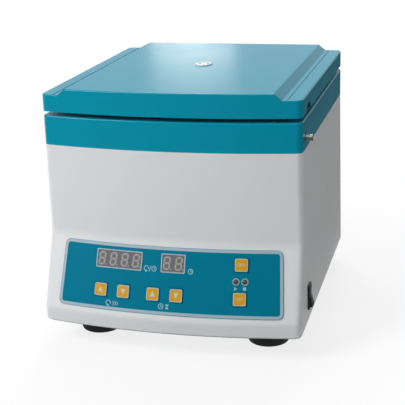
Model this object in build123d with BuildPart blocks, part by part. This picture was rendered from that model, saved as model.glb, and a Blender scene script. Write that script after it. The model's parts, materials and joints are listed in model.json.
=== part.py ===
from build123d import *
from math import asin, atan2, cos, degrees, radians, sin, sqrt, tan
import os

# A low-speed bench centrifuge: hinged lid, steel chamber, six-place angle rotor and sloping control panel.
# Millimetres. X runs to the right as seen from the front, Y to the rear and Z up from the bench.
# The origin is the middle of the footprint, at the level of the bench.

# Outer form of the body, from the bench upwards
body_width = 270.0
body_depth = 291.0
foot_height = 25.5
base_thickness = 1.5
lip_height = 15.0
panel_rise = 76.0
waist_rise = 95.6
collar_height = 30.5
lid_gap = 4.4
skirt_height = 17.9
plateau_rise = 6.5
front_bow = 13.5
side_flare = 2.7
crease_setback = 2.7
panel_reach = 28.3
lip_tuck = 1.5
corner_radius = 7.0
crease_radius = 22.0
lip_radius = 12.0
hem_radius = 2.0
edge_radius = 1.5

# Walls, fits and small clearances
wall = 3.0
base_inset = 1.5
deck_thickness = 3.0
spigot_depth = 6.0
spigot_thickness = 2.0
spigot_clearance = 0.5
fit_clearance = 0.1
slide_clearance = 0.3
running_clearance = 0.05

# Feet and tie rods
foot_radius = 21.6
foot_top_radius = 25.2
foot_from_side = 41.0
foot_from_end = 28.5
foot_recess_radius = 7.0
foot_recess_depth = 12.0
foot_edge_radius = 2.0
foot_screw_radius = 2.5
foot_screw_head_radius = 5.0
foot_screw_head_height = 3.5
foot_nut_height = 4.0
tie_radius = 2.5
tie_head_radius = 4.5
tie_head_height = 4.0
tie_inset_x = 13.0
tie_from_corner = 7.5
tie_from_back = 13.5
boss_radius = 5.0
boss_length = 18.0

# Control panel: places are measured across the front and up from the bench
overlay_side_margin = 17.0
overlay_low = 47.7
overlay_high = 112.8
overlay_thickness = 0.8
overlay_corner = 6.0
display_height = 19.0
display_sink = 0.5
display_corner = 0.6
speed_display_width = 50.3
speed_display_x = -53.5
time_display_width = 25.1
time_display_x = 4.9
display_z = 97.4
key_size = 14.4
key_corner = 1.5
key_proud = 1.0
key_edge_radius = 0.4
key_flange = 17.0
key_flange_thickness = 1.0
key_stem_radius = 2.0
key_travel = 0.5
key_row_z = 66.9
on_key_z = 98.6
off_key_z = 66.2
key_places = {
    "key_speed_up": (-72.0, key_row_z),
    "key_speed_down": (-47.0, key_row_z),
    "key_time_up": (-14.9, key_row_z),
    "key_time_down": (9.9, key_row_z),
    "key_on": (75.2, on_key_z),
    "key_off": (75.2, off_key_z),
}
switch_size = 6.0
switch_height = 3.5
plunger_radius = 1.7
plunger_height = 1.2
led_radius = 2.5
led_flange_radius = 2.9
led_flange_height = 1.0
led_length = 7.0
led_proud = 1.2
led_wire = 0.6
led_wire_pitch = 2.54
led_z = 82.7
led_places = {"run_led": 70.7, "stop_led": 79.7}
bezel_radius = 3.7
bezel_sleeve_radius = 3.1
bezel_proud = 0.7
bezel_depth = 5.0
board_width = 192.0
board_height = 58.0
board_thickness = 1.6
board_depth = 15.0
board_z = 80.5
standoff_radius = 3.5
standoff_inset = 6.0

# Chamber and its rubber parts
chamber_side_gap = 10.0
chamber_depth = 108.0
sheet = 1.0
flange_width = 8.0
bowl_corner = 14.0
neck_radius = 18.0
neck_height = 9.0
deck_hole_gap = 2.0
gasket_width = 7.0
seal_gap = 0.3
boot_wall = 3.0
boot_bore = 8.0

# Motor, standing on rubber mounts on the base plate
damper_radius = 10.0
damper_height = 18.0
damper_spacing_x = 112.0
damper_spacing_y = 100.0
damper_bolt_radius = 2.5
damper_bolt_head_radius = 4.5
damper_bolt_head_height = 3.0
motor_plate_width = 140.0
motor_plate_depth = 128.0
motor_plate_thickness = 3.0
motor_radius = 44.0
motor_height = 76.0
motor_wall = 2.5
motor_flange_radius = 51.0
motor_flange_height = 4.0
motor_edge_radius = 3.0
end_cap_height = 4.0
bearing_radius = 13.0
bearing_height = 8.0
bearing_cup_wall = 3.0
magnet_thickness = 8.0
magnet_height = 44.0
air_gap = 1.0
commutator_radius = 11.0
commutator_height = 8.0
brush_size = 5.0
brush_gap = 0.3

# Rotor: six sleeves leaning outwards at a fixed angle
full_turn = 360.0
sleeve_count = 6
sleeve_tilt = 38.0
rotor_side_gap = 11.0
sleeve_bore = 10.5
sleeve_wall = 1.2
sleeve_depth = 72.0
sleeve_flange_radius = 14.0
sleeve_flange_height = 2.0
mouth_below_rim = 28.0
head_thickness = 5.0
dish_beyond_ring = 20.0
head_rim_height = 10.0
head_rim_wall = 3.0
seat_radius = 15.5
seat_height = 3.0
crown_radius = 20.0
crown_below_mouth = 12.0
hub_radius = 16.0
hub_length = 45.0
shaft_radius = 5.0
thread_radius = 4.0
nut_radius = 12.0
nut_height = 10.0
nut_flutes = 12
nut_flute_radius = 1.6
nut_edge_radius = 2.0

# Lid
strip_width = 19.3
step_width = 8.0
groove_offset = 5.0
groove_width = 1.2
groove_depth = 0.6
liner_thickness = 2.0
liner_clearance = 0.3
liner_boss_radius = 4.5
liner_boss_from_side = 40.0
liner_boss_from_end = 40.5
notch_length = 26.0
notch_height = 7.5
notch_from_corner = 26.0
window_radius = 6.5
window_rim_radius = 9.5
window_rim_height = 1.4
window_tube_wall = 1.5
window_dome = 1.0
window_thickness = 3.0

# Hinges at the back, with their pins behind the wall at the height of the lid gap
hinge_spacing = 170.0
hinge_width = 40.0
hinge_plate = 2.0
hinge_pivot_stand = 4.7
knuckle_radius = 4.0
knuckle_width = 18.0
knuckle_gap = 0.4
hinge_pin_radius = 2.0
hinge_pin_head = 1.0
body_leaf_drop = 24.0
lid_leaf_height = 10.6

# Lid lock on the right: a pin through the collar and a hook under the lid
latch_from_corner = 17.5
latch_below_deck = 18.6
latch_pin_radius = 2.7
latch_tip_radius = 3.5
latch_tip_length = 4.5
latch_reach = 7.4
latch_travel = 4.5
latch_sink = 1.6
latch_play = 0.7
latch_edge_radius = 0.6
bush_radius = 4.8
bush_flange_radius = 8.0
bush_flange_height = 2.5
bush_length = 16.0
hook_thickness = 2.5
hook_width = 14.0
hook_foot = 16.0
hook_foot_thickness = 2.0
hook_from_wall = 28.5
hook_below_pin = 8.0
eye_width = 7.0
eye_height = 8.0
hook_slot_play = 3.0

# Power switch low on the right side
rocker_from_corner = 25.5
rocker_z = 54.0
rocker_bezel_width = 15.0
rocker_bezel_height = 27.0
rocker_bezel_thickness = 2.0
rocker_bezel_corner = 1.5
rocker_frame = 2.0
rocker_body_depth = 18.0
rocker_shell = 1.2
rocker_tilt = 7.0
rocker_crown = 0.6
rocker_depth = 4.0
rocker_pivot_depth = 2.0
rocker_axle_radius = 1.2
tab_width = 4.8
tab_thickness = 0.8
tab_length = 7.0

# Mains inlet, fuse and vents in the back wall
inlet_x = -28.0
inlet_z = 62.0
inlet_flange_width = 50.0
inlet_flange_height = 24.0
inlet_flange_thickness = 2.5
inlet_mouth_width = 24.0
inlet_mouth_height = 16.6
inlet_mouth_depth = 16.0
inlet_chamfer = 4.0
inlet_shell = 2.0
inlet_pin_width = 2.0
inlet_pin_height = 4.0
inlet_pin_length = 11.0
inlet_pin_pitch = 7.0
inlet_earth_rise = 4.0
fuse_x = 30.0
fuse_cap_radius = 7.5
fuse_cap_height = 6.0
fuse_barrel_radius = 6.0
fuse_barrel_length = 28.0
vent_width = 3.0
vent_height = 34.0
vent_pitch = 8.0
vent_count = 9
vent_z = 168.0
vent_group_spacing = 120.0

# Power electronics on the base plate
transformer_from_side = 47.0
transformer_from_back = 52.0
transformer_width = 60.0
transformer_depth = 30.0
transformer_height = 50.0
coil_width = 36.0
coil_depth = 46.0
coil_margin = 10.0
drive_board_from_side = 49.0
drive_board_back_gap = 18.0
drive_board_damper_gap = 7.5
drive_board_width = 72.0
drive_post_radius = 3.0
drive_post_height = 10.0
drive_post_inset = 5.0
capacitor_radius = 11.0
capacitor_height = 34.0
capacitor_offset = 20.0
sensor_width = 14.0
sensor_depth = 8.0
sensor_height = 6.0
sensor_from_corner = 36.0
sensor_from_wall = 22.0
magnet_radius = 4.0

# Heights worked out from the stack
base_top = foot_height + base_thickness
lip_z = base_top + lip_height
crease_z = lip_z + panel_rise
collar_z = crease_z + waist_rise
deck_z = collar_z + collar_height
lid_z = deck_z + lid_gap
strip_z = lid_z + skirt_height
plateau_z = strip_z + plateau_rise

# Plan: the bow of the front is an arc about an upright axis far behind the body
half_width = body_width / 2
hinge_reach = hinge_pivot_stand + knuckle_radius
base_reach = panel_reach - crease_setback
footprint_depth = front_bow + base_reach + body_depth + hinge_reach
corner_y = -footprint_depth / 2 + front_bow + base_reach
rear_y = corner_y + body_depth
chamber_y = (corner_y + rear_y) / 2
bow_radius = (half_width**2 + front_bow**2) / (2 * front_bow)
bow_y = corner_y - front_bow + bow_radius
crease_radius_plan = bow_radius - crease_setback
lip_radius_plan = crease_radius_plan + panel_reach
hem_radius_plan = lip_radius_plan - lip_tuck
panel_slope = atan2(panel_reach, panel_rise)
draft = atan2(side_flare, collar_z - base_top)

# Places shared by several pieces
chamber_radius = half_width - wall - chamber_side_gap - flange_width - sheet
bowl_rim_z = deck_z + sheet
bowl_floor_z = bowl_rim_z - chamber_depth
bowl_wall = chamber_radius + sheet
flange_radius = bowl_wall + flange_width
liner_top_z = lid_z + liner_thickness
pivot_y = rear_y + hinge_pivot_stand
pivot_z = lid_z - lid_gap / 2
latch_y = corner_y + latch_from_corner
latch_z = deck_z - latch_below_deck
latch_tip_x = half_width + latch_reach
hook_outer_x = half_width - hook_from_wall
latch_end_x = hook_outer_x + latch_play
tie_places = [
    (side * (half_width - tie_inset_x), y)
    for side in (-1, 1)
    for y in (corner_y + tie_from_corner, rear_y - tie_from_back)
]
foot_spacing_x = body_width - 2 * foot_from_side
foot_spacing_y = body_depth - 2 * foot_from_end
foot_places = GridLocations(foot_spacing_x, foot_spacing_y, 2, 2).locations
damper_places = GridLocations(damper_spacing_x, damper_spacing_y, 2, 2).locations
motor_plate_z = base_top + damper_height
motor_z = motor_plate_z + motor_plate_thickness
motor_top_z = motor_z + motor_height
head_tilt = radians(sleeve_tilt)
mouth_z = bowl_rim_z - mouth_below_rim
sleeve_radius = sleeve_bore + sleeve_wall
sleeve_reach = sleeve_radius + sleeve_depth * sin(head_tilt)
sleeve_ring = chamber_radius - rotor_side_gap - sleeve_reach
dish_radius = sleeve_ring + dish_beyond_ring
seat_r = sleeve_ring + seat_height * sin(head_tilt)
seat_z = mouth_z - seat_height * cos(head_tilt)
crown_z = mouth_z - crown_below_mouth
key_hole = key_size + 2 * slide_clearance

bow_axis = Axis((0, bow_y, 0), (0, 0, 1))
bow_plane = Plane((0, bow_y, 0), x_dir=(0, 1, 0), z_dir=(1, 0, 0))
spin_axis = Axis((0, chamber_y, 0), (0, 0, 1))
spin_plane = Plane((0, chamber_y, 0), x_dir=(1, 0, 0), z_dir=(0, -1, 0))
rear_plane = Plane((0, rear_y, 0), x_dir=(-1, 0, 0), z_dir=(0, 1, 0))


def half_at(z):
    """Half the width of the drafted housing at one height."""
    return half_width + (collar_z - z) * tan(draft)


def plan(z, half, back, front_radius, corner):
    """Draw the body from above: straight sides and back, bowed front, round corners."""
    front = bow_y - sqrt(front_radius**2 - half**2)
    with BuildSketch(Plane.XY.offset(z)) as outline:
        with BuildLine():
            Polyline((half, front), (half, back), (-half, back), (-half, front))
            ThreePointArc((-half, front), (0, bow_y - front_radius), (half, front))
        make_face()
        fillet(outline.vertices(), corner)
    return outline.sketch


def top_plan(z, inset):
    """Draw the outline shared by the collar and the lid, set in from the outside."""
    return plan(z, half_width - inset, rear_y - inset, bow_radius - inset, max(corner_radius - inset, 1))


def turned(points, plane=spin_plane, axis=spin_axis, mode=Mode.ADD):
    """Revolve a closed outline of radius and height about an upright axis."""
    with BuildSketch(plane) as section:
        with BuildLine():
            Polyline(*points, close=True)
        make_face()
    revolve(section.sketch, axis=axis, mode=mode)


def ring(inner, outer, low, high, mode=Mode.ADD):
    """Revolve a plain ring about the rotor's axis."""
    turned([(inner, low), (outer, low), (outer, high), (inner, high)], mode=mode)


def panel_plane(x, z):
    """Plane on the outside of the sloping panel: X along the panel, Y up the slope, Z outwards."""
    radius = crease_radius_plan + (crease_z - z) * tan(panel_slope)
    turn = asin(x / radius)
    return Plane(
        (x, bow_y - radius * cos(turn), z),
        x_dir=(cos(turn), sin(turn), 0),
        z_dir=(sin(turn) * cos(panel_slope), -cos(turn) * cos(panel_slope), sin(panel_slope)),
    )


def side_plane(y, z):
    """Plane on the outside of the right wall: X to the rear, Y up the wall, Z outwards."""
    return Plane((half_at(z), y, z), x_dir=(0, 1, 0), z_dir=(cos(draft), 0, sin(draft)))


def sleeve_plane(turn):
    """Plane of one sleeve's seat in the rotor: Z points out of the sleeve's mouth, up and inwards."""
    tilt = radians(sleeve_tilt)
    turn = radians(turn)
    return Plane(
        (sleeve_ring * cos(turn), chamber_y + sleeve_ring * sin(turn), mouth_z),
        x_dir=(-sin(turn), cos(turn), 0),
        z_dir=(-sin(tilt) * cos(turn), -sin(tilt) * sin(turn), cos(tilt)),
    )


def housing_block(inset, low, high):
    """Solid block of the housing's form, set in from the outside and running from low to high."""
    fore_y = corner_y - front_bow - base_reach - 4 * corner_radius
    back = rear_y - inset
    spare = body_depth / 3
    with BuildPart() as block:
        for z in (low, high):
            with BuildSketch(Plane.XY.offset(z)):
                with Locations((0, (back + fore_y) / 2)):
                    RectangleRounded(2 * (half_at(z) - inset), back - fore_y, corner_radius - inset)
        loft()
        with BuildSketch(bow_plane) as side_view:
            with BuildLine():
                Polyline(
                    (bow_radius - body_depth - spare, base_top - spare),
                    (hem_radius_plan, base_top - spare),
                    (hem_radius_plan, base_top),
                    (lip_radius_plan, lip_z),
                    (crease_radius_plan, crease_z),
                    (bow_radius, collar_z),
                    (bow_radius, collar_z + spare),
                    (bow_radius - body_depth - spare, collar_z + spare),
                    close=True,
                )
            make_face()
            fillet(side_view.vertices().sort_by(Axis.Y)[4], crease_radius)
            fillet(side_view.vertices().sort_by(Axis.X)[-1], lip_radius)
            if inset > 0:
                offset(amount=-inset, kind=Kind.INTERSECTION)
        revolve(axis=bow_axis, mode=Mode.INTERSECT)
        front_corners = block.edges().filter_by(
            lambda edge: edge.center().Y < chamber_y - body_depth / 3 and edge.bounding_box().size.Z > 1
        )
        fillet(front_corners, corner_radius - inset)
    return block.part


def board_distance(place):
    """Depth from the panel's outside to the front of the control board, along one place's own normal."""
    return (place.origin - board_front.origin).dot(board_front.z_dir) / place.z_dir.dot(board_front.z_dir)


board_front = panel_plane(0.0, board_z).offset(-board_depth)
outer_block = housing_block(0.0, base_top, collar_z)
cavity = housing_block(wall, base_top - wall, collar_z + wall)

# Housing: one moulding, open at the top and the bottom, with the sloping panel in its front
display_places = [
    (panel_plane(speed_display_x, display_z), speed_display_width),
    (panel_plane(time_display_x, display_z), time_display_width),
]
key_planes = {name: panel_plane(x, z) for name, (x, z) in key_places.items()}
led_planes = {name: panel_plane(x, led_z) for name, x in led_places.items()}
rocker_plane = side_plane(corner_y + rocker_from_corner, rocker_z)
panel_cut = 2 * wall
rocker_hole_width = rocker_bezel_width - 2 * rocker_frame + 2 * rocker_shell + 2 * fit_clearance
rocker_hole_height = rocker_bezel_height - 2 * rocker_frame + 2 * rocker_shell + 2 * fit_clearance
inlet_hole_width = inlet_mouth_width + 2 * inlet_shell + 2 * fit_clearance
inlet_hole_height = inlet_mouth_height + 2 * inlet_shell + 2 * fit_clearance
with BuildPart() as housing_shell:
    add(outer_block)
    fillet(housing_shell.edges().group_by(Axis.Z)[0], hem_radius)
    add(cavity, mode=Mode.SUBTRACT)
    for place, width in display_places:
        with BuildSketch(place):
            RectangleRounded(width + 2 * fit_clearance, display_height + 2 * fit_clearance, display_corner)
        extrude(amount=panel_cut, both=True, mode=Mode.SUBTRACT)
    for place in key_planes.values():
        with BuildSketch(place):
            RectangleRounded(key_hole, key_hole, key_corner)
        extrude(amount=panel_cut, both=True, mode=Mode.SUBTRACT)
    for place in led_planes.values():
        with BuildSketch(place):
            Circle(bezel_sleeve_radius + fit_clearance)
        extrude(amount=panel_cut, both=True, mode=Mode.SUBTRACT)
    with BuildSketch(rocker_plane):
        Rectangle(rocker_hole_width, rocker_hole_height)
    extrude(amount=panel_cut, both=True, mode=Mode.SUBTRACT)
    with BuildSketch(rear_plane):
        with Locations((-inlet_x, inlet_z)):
            Rectangle(inlet_hole_width, inlet_hole_height)
        with Locations((-fuse_x, inlet_z)):
            Circle(fuse_barrel_radius + fit_clearance)
        with Locations((-vent_group_spacing / 2, vent_z), (vent_group_spacing / 2, vent_z)):
            with GridLocations(vent_pitch, vent_height, vent_count, 1):
                SlotOverall(vent_height, vent_width, rotation=90)
    extrude(amount=-panel_cut, mode=Mode.SUBTRACT)

# Collar: the coloured frame that closes the housing and carries the chamber, the hinges and the lock
hook_slot_width = hook_width + 2 * hook_slot_play
with BuildPart() as top_collar:
    extrude(top_plan(collar_z, 0), amount=collar_height)
    fillet(top_collar.edges().group_by(Axis.Z)[-1], edge_radius)
    extrude(top_plan(collar_z, wall), amount=collar_height - deck_thickness, mode=Mode.SUBTRACT)
    extrude(top_plan(collar_z - spigot_depth, wall + spigot_clearance), amount=spigot_depth)
    extrude(top_plan(collar_z, wall), amount=spigot_thickness)
    spigot_bore = top_plan(collar_z - spigot_depth, wall + spigot_clearance + spigot_thickness)
    extrude(spigot_bore, amount=spigot_depth + spigot_thickness, mode=Mode.SUBTRACT)
    with BuildSketch(Plane.XY.offset(deck_z - deck_thickness - boss_length)):
        with Locations(*tie_places):
            Circle(boss_radius)
    extrude(amount=boss_length + deck_thickness / 2)
    with BuildSketch(Plane.XY.offset(deck_z - deck_thickness - boss_length)):
        with Locations(*tie_places):
            Circle(tie_radius + fit_clearance)
    extrude(amount=boss_length, mode=Mode.SUBTRACT)
    with BuildSketch(Plane.XY.offset(collar_z)):
        with Locations((0, chamber_y)):
            Circle(bowl_wall + deck_hole_gap)
        with Locations((hook_outer_x - hook_thickness / 2, latch_y)):
            Rectangle(hook_thickness + 2 * hook_slot_play, hook_slot_width)
    extrude(amount=collar_height, mode=Mode.SUBTRACT)
    with BuildSketch(Plane((half_width, latch_y, latch_z), x_dir=(0, 1, 0), z_dir=(1, 0, 0))):
        Circle(bush_radius + fit_clearance)
    extrude(amount=-2 * wall, mode=Mode.SUBTRACT)

# Base plate: a flat steel sheet under the housing, held by the tie rods
base_half = half_at(base_top) - base_inset
base_front = hem_radius_plan - base_inset - hem_radius
with BuildPart() as base_plate:
    base_outline = plan(foot_height, base_half, rear_y - base_inset, base_front, corner_radius)
    extrude(base_outline, amount=base_thickness)
    with BuildSketch(Plane.XY.offset(foot_height)):
        with Locations(*tie_places):
            Circle(tie_radius + fit_clearance)
        with Locations((0, chamber_y)):
            with Locations(*foot_places):
                Circle(foot_screw_radius + fit_clearance)
            with Locations(*damper_places):
                Circle(damper_bolt_radius + fit_clearance)
    extrude(amount=base_thickness, mode=Mode.SUBTRACT)

with BuildPart() as tie_rods:
    with BuildSketch(Plane.XY.offset(foot_height - tie_head_height)):
        with Locations(*tie_places):
            RegularPolygon(tie_head_radius, 6)
    extrude(amount=tie_head_height)
    with BuildSketch(Plane.XY.offset(foot_height)):
        with Locations(*tie_places):
            Circle(tie_radius)
    extrude(amount=deck_z - deck_thickness - foot_height)

# Rubber feet, each held by one screw with its nut above the base plate
with BuildPart() as rubber_feet:
    with Locations((0, chamber_y)):
        with Locations(*foot_places):
            Cone(foot_radius, foot_top_radius, foot_height, align=(Align.CENTER, Align.CENTER, Align.MIN))
            Cylinder(
                foot_recess_radius,
                foot_recess_depth,
                align=(Align.CENTER, Align.CENTER, Align.MIN),
                mode=Mode.SUBTRACT,
            )
            Cylinder(
                foot_screw_radius + fit_clearance,
                foot_height,
                align=(Align.CENTER, Align.CENTER, Align.MIN),
                mode=Mode.SUBTRACT,
            )
    foot_rims = rubber_feet.edges().group_by(Axis.Z)[0].filter_by(lambda edge: edge.radius > foot_recess_radius)
    fillet(foot_rims, foot_edge_radius)

foot_screw_length = foot_height - foot_recess_depth + base_thickness + foot_nut_height
with BuildPart() as foot_screws:
    for place in foot_places:
        with Locations((place.position.X, chamber_y + place.position.Y, foot_recess_depth)):
            Cylinder(
                foot_screw_head_radius,
                foot_screw_head_height,
                align=(Align.CENTER, Align.CENTER, Align.MAX),
            )
            Cylinder(
                foot_screw_radius,
                foot_screw_length,
                align=(Align.CENTER, Align.CENTER, Align.MIN),
            )
        with BuildSketch(Plane.XY.offset(base_top)):
            with Locations((place.position.X, chamber_y + place.position.Y)):
                RegularPolygon(foot_screw_head_radius, 6)
        extrude(amount=foot_nut_height)

# Control panel: a thin printed overlay wrapped round the bowed slope, with holes for what shows through it
overlay_width = body_width - 2 * overlay_side_margin
overlay_radius_low = crease_radius_plan + (crease_z - overlay_low) * tan(panel_slope)
overlay_radius_high = crease_radius_plan + (crease_z - overlay_high) * tan(panel_slope)
overlay_turn = degrees(asin(overlay_width / 2 / ((overlay_radius_low + overlay_radius_high) / 2)))
skin_r = overlay_thickness * cos(panel_slope)
skin_z = overlay_thickness * sin(panel_slope)
overlay_plane = Plane(
    (0, bow_y, 0),
    x_dir=(-sin(radians(overlay_turn)), -cos(radians(overlay_turn)), 0),
    z_dir=(-cos(radians(overlay_turn)), sin(radians(overlay_turn)), 0),
)
with BuildPart() as control_overlay:
    with BuildSketch(overlay_plane):
        with BuildLine():
            Polyline(
                (overlay_radius_low, overlay_low),
                (overlay_radius_low + skin_r, overlay_low + skin_z),
                (overlay_radius_high + skin_r, overlay_high + skin_z),
                (overlay_radius_high, overlay_high),
                close=True,
            )
        make_face()
    revolve(axis=bow_axis, revolution_arc=2 * overlay_turn)
    overlay_corners = control_overlay.edges().filter_by(lambda edge: edge.length < 2 * overlay_thickness)
    fillet(overlay_corners, overlay_corner)
    for place, width in display_places:
        with BuildSketch(place):
            RectangleRounded(width + 2 * fit_clearance, display_height + 2 * fit_clearance, display_corner)
        extrude(amount=panel_cut, both=True, mode=Mode.SUBTRACT)
    for place in key_planes.values():
        with BuildSketch(place):
            RectangleRounded(key_hole, key_hole, key_corner)
        extrude(amount=panel_cut, both=True, mode=Mode.SUBTRACT)
    for place in led_planes.values():
        with BuildSketch(place):
            Circle(bezel_sleeve_radius + fit_clearance)
        extrude(amount=panel_cut, both=True, mode=Mode.SUBTRACT)

# Control board behind the panel, on posts that end on the inside of the housing
with BuildPart() as control_board:
    with BuildSketch(board_front):
        RectangleRounded(board_width, board_height, standoff_radius)
    extrude(amount=-board_thickness)

with BuildPart() as board_standoffs:
    with BuildSketch(board_front):
        with GridLocations(board_width - 2 * standoff_inset, board_height - 2 * standoff_inset, 2, 2):
            Circle(standoff_radius)
    extrude(amount=2 * board_depth)
    add(cavity, mode=Mode.INTERSECT)


def display_module(place, width):
    """Numeric display: a block that runs from the panel's face back to the control board."""
    with BuildPart() as module:
        with BuildSketch(place.offset(overlay_thickness - display_sink)):
            RectangleRounded(width, display_height, display_corner)
        extrude(amount=-2 * board_depth)
        split(bisect_by=board_front, keep=Keep.TOP)
    return module.part


with BuildPart() as speed_display:
    add(display_module(*display_places[0]))

with BuildPart() as time_display:
    add(display_module(*display_places[1]))


def key_cap(place):
    """Push key: cap through the panel, flange behind it and a stem that ends over its switch."""
    depth = board_distance(place)
    stem_end = depth - switch_height - plunger_height - key_travel - slide_clearance
    flange_top = wall + slide_clearance
    with BuildPart() as cap:
        with BuildSketch(place.offset(overlay_thickness + key_proud)):
            RectangleRounded(key_size, key_size, key_corner)
        extrude(amount=-(overlay_thickness + key_proud + flange_top))
        cap_top = cap.faces().sort_by(Axis(place.origin, place.z_dir))[-1]
        fillet(cap_top.edges(), key_edge_radius)
        with BuildSketch(place.offset(-flange_top)):
            Rectangle(key_flange, key_flange)
        extrude(amount=-key_flange_thickness)
        with BuildSketch(place.offset(-flange_top)):
            Circle(key_stem_radius)
        extrude(amount=flange_top - stem_end)
    return cap.part


with BuildPart() as key_speed_up:
    add(key_cap(key_planes["key_speed_up"]))

with BuildPart() as key_speed_down:
    add(key_cap(key_planes["key_speed_down"]))

with BuildPart() as key_time_up:
    add(key_cap(key_planes["key_time_up"]))

with BuildPart() as key_time_down:
    add(key_cap(key_planes["key_time_down"]))

with BuildPart() as key_on:
    add(key_cap(key_planes["key_on"]))

with BuildPart() as key_off:
    add(key_cap(key_planes["key_off"]))

with BuildPart() as key_switches:
    for place in key_planes.values():
        depth = board_distance(place)
        with BuildSketch(place.offset(switch_height - depth)):
            Rectangle(switch_size, switch_size)
        extrude(amount=-2 * switch_height)
        with BuildSketch(place.offset(switch_height - depth)):
            Circle(plunger_radius)
        extrude(amount=plunger_height)
    split(bisect_by=board_front, keep=Keep.TOP)


def indicator(place):
    """Round indicator lamp: a domed lens with a flange and two wires down to the control board."""
    top = overlay_thickness + led_proud - led_radius
    flange_low = overlay_thickness + led_proud - led_length - led_flange_height
    with BuildPart() as lamp:
        with Locations(place.offset(top)):
            Sphere(led_radius)
        with BuildSketch(place.offset(flange_low)):
            Circle(led_radius)
        extrude(amount=top - flange_low)
        with BuildSketch(place.offset(flange_low)):
            Circle(led_flange_radius)
        extrude(amount=led_flange_height)
        with BuildSketch(place.offset(flange_low)):
            with GridLocations(led_wire_pitch, led_wire_pitch, 2, 1):
                Rectangle(led_wire, led_wire)
        extrude(amount=-2 * board_depth)
        split(bisect_by=board_front, keep=Keep.TOP)
    return lamp.part


with BuildPart() as run_led:
    add(indicator(led_planes["run_led"]))

with BuildPart() as stop_led:
    add(indicator(led_planes["stop_led"]))

with BuildPart() as led_bezels:
    for place in led_planes.values():
        with BuildSketch(place.offset(overlay_thickness)):
            Circle(bezel_radius)
        extrude(amount=bezel_proud)
        with BuildSketch(place.offset(overlay_thickness)):
            Circle(bezel_sleeve_radius)
        extrude(amount=-bezel_depth)
        with BuildSketch(place.offset(overlay_thickness + bezel_proud)):
            Circle(led_radius + fit_clearance)
        extrude(amount=-2 * bezel_depth, mode=Mode.SUBTRACT)

# Chamber: a deep-drawn steel bowl that hangs by its flange on the collar's deck
neck_top_z = bowl_floor_z + neck_height
with BuildPart() as chamber_bowl:
    with BuildSketch(spin_plane):
        with BuildLine():
            FilletPolyline(
                (flange_radius, bowl_rim_z),
                (chamber_radius, bowl_rim_z),
                (chamber_radius, bowl_floor_z),
                (neck_radius, bowl_floor_z),
                (neck_radius, neck_top_z),
                radius=(sheet, bowl_corner, 2 * sheet),
            )
            FilletPolyline(
                (bowl_wall, bowl_rim_z - sheet),
                (bowl_wall, bowl_floor_z - sheet),
                (neck_radius - sheet, bowl_floor_z - sheet),
                (neck_radius - sheet, neck_top_z),
                radius=(bowl_corner + sheet, 3 * sheet),
            )
            Polyline((bowl_wall, bowl_rim_z - sheet), (flange_radius, bowl_rim_z - sheet), (flange_radius, bowl_rim_z))
            Line((neck_radius - sheet, neck_top_z), (neck_radius, neck_top_z))
        make_face()
    revolve(axis=spin_axis)

gasket_inner = bowl_wall + deck_hole_gap / 2
gasket_top_z = lid_z - seal_gap
with BuildPart() as chamber_gasket:
    ring(gasket_inner, gasket_inner + gasket_width, bowl_rim_z, gasket_top_z)
    fillet(chamber_gasket.edges().group_by(Axis.Z)[-1], (gasket_top_z - bowl_rim_z) / 3)

# Motor on its rubber mounts, with the shaft up through the floor of the chamber
with BuildPart() as motor_dampers:
    with Locations((0, chamber_y, base_top)):
        with Locations(*damper_places):
            Cylinder(damper_radius, damper_height, align=(Align.CENTER, Align.CENTER, Align.MIN))
            Cylinder(
                damper_bolt_radius + fit_clearance,
                damper_height,
                align=(Align.CENTER, Align.CENTER, Align.MIN),
                mode=Mode.SUBTRACT,
            )

with BuildPart() as motor_plate:
    with BuildSketch(Plane.XY.offset(motor_plate_z)):
        with Locations((0, chamber_y)):
            RectangleRounded(motor_plate_width, motor_plate_depth, corner_radius)
            with Locations(*damper_places):
                Circle(damper_bolt_radius + fit_clearance, mode=Mode.SUBTRACT)
    extrude(amount=motor_plate_thickness)

damper_bolt_low = foot_height - damper_bolt_head_height
damper_bolt_length = motor_z + damper_bolt_head_height - foot_height
with BuildPart() as damper_bolts:
    with BuildSketch(Plane.XY.offset(damper_bolt_low)):
        with Locations((0, chamber_y)):
            with Locations(*damper_places):
                RegularPolygon(damper_bolt_head_radius, 6)
    extrude(amount=damper_bolt_head_height)
    with BuildSketch(Plane.XY.offset(foot_height)):
        with Locations((0, chamber_y)):
            with Locations(*damper_places):
                Circle(damper_bolt_radius)
    extrude(amount=damper_bolt_length)
    with BuildSketch(Plane.XY.offset(motor_z)):
        with Locations((0, chamber_y)):
            with Locations(*damper_places):
                RegularPolygon(damper_bolt_head_radius, 6)
    extrude(amount=damper_bolt_head_height)

motor_bore = motor_radius - motor_wall
cup_radius = bearing_radius + bearing_cup_wall
with BuildPart() as motor_can:
    turned(
        [
            (motor_bore, motor_z),
            (motor_flange_radius, motor_z),
            (motor_flange_radius, motor_z + motor_flange_height),
            (motor_radius, motor_z + motor_flange_height),
            (motor_radius, motor_top_z),
            (shaft_radius + motor_wall, motor_top_z),
            (shaft_radius + motor_wall, motor_top_z - motor_wall),
            (bearing_radius, motor_top_z - motor_wall),
            (bearing_radius, motor_top_z - motor_wall - bearing_height),
            (cup_radius, motor_top_z - motor_wall - bearing_height),
            (cup_radius, motor_top_z - motor_wall),
            (motor_bore, motor_top_z - motor_wall),
        ]
    )
    top_rim = motor_can.edges().filter_by(GeomType.CIRCLE).group_by(Axis.Z)[-1].sort_by(SortBy.RADIUS)[-1]
    fillet(top_rim, motor_edge_radius)

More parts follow.
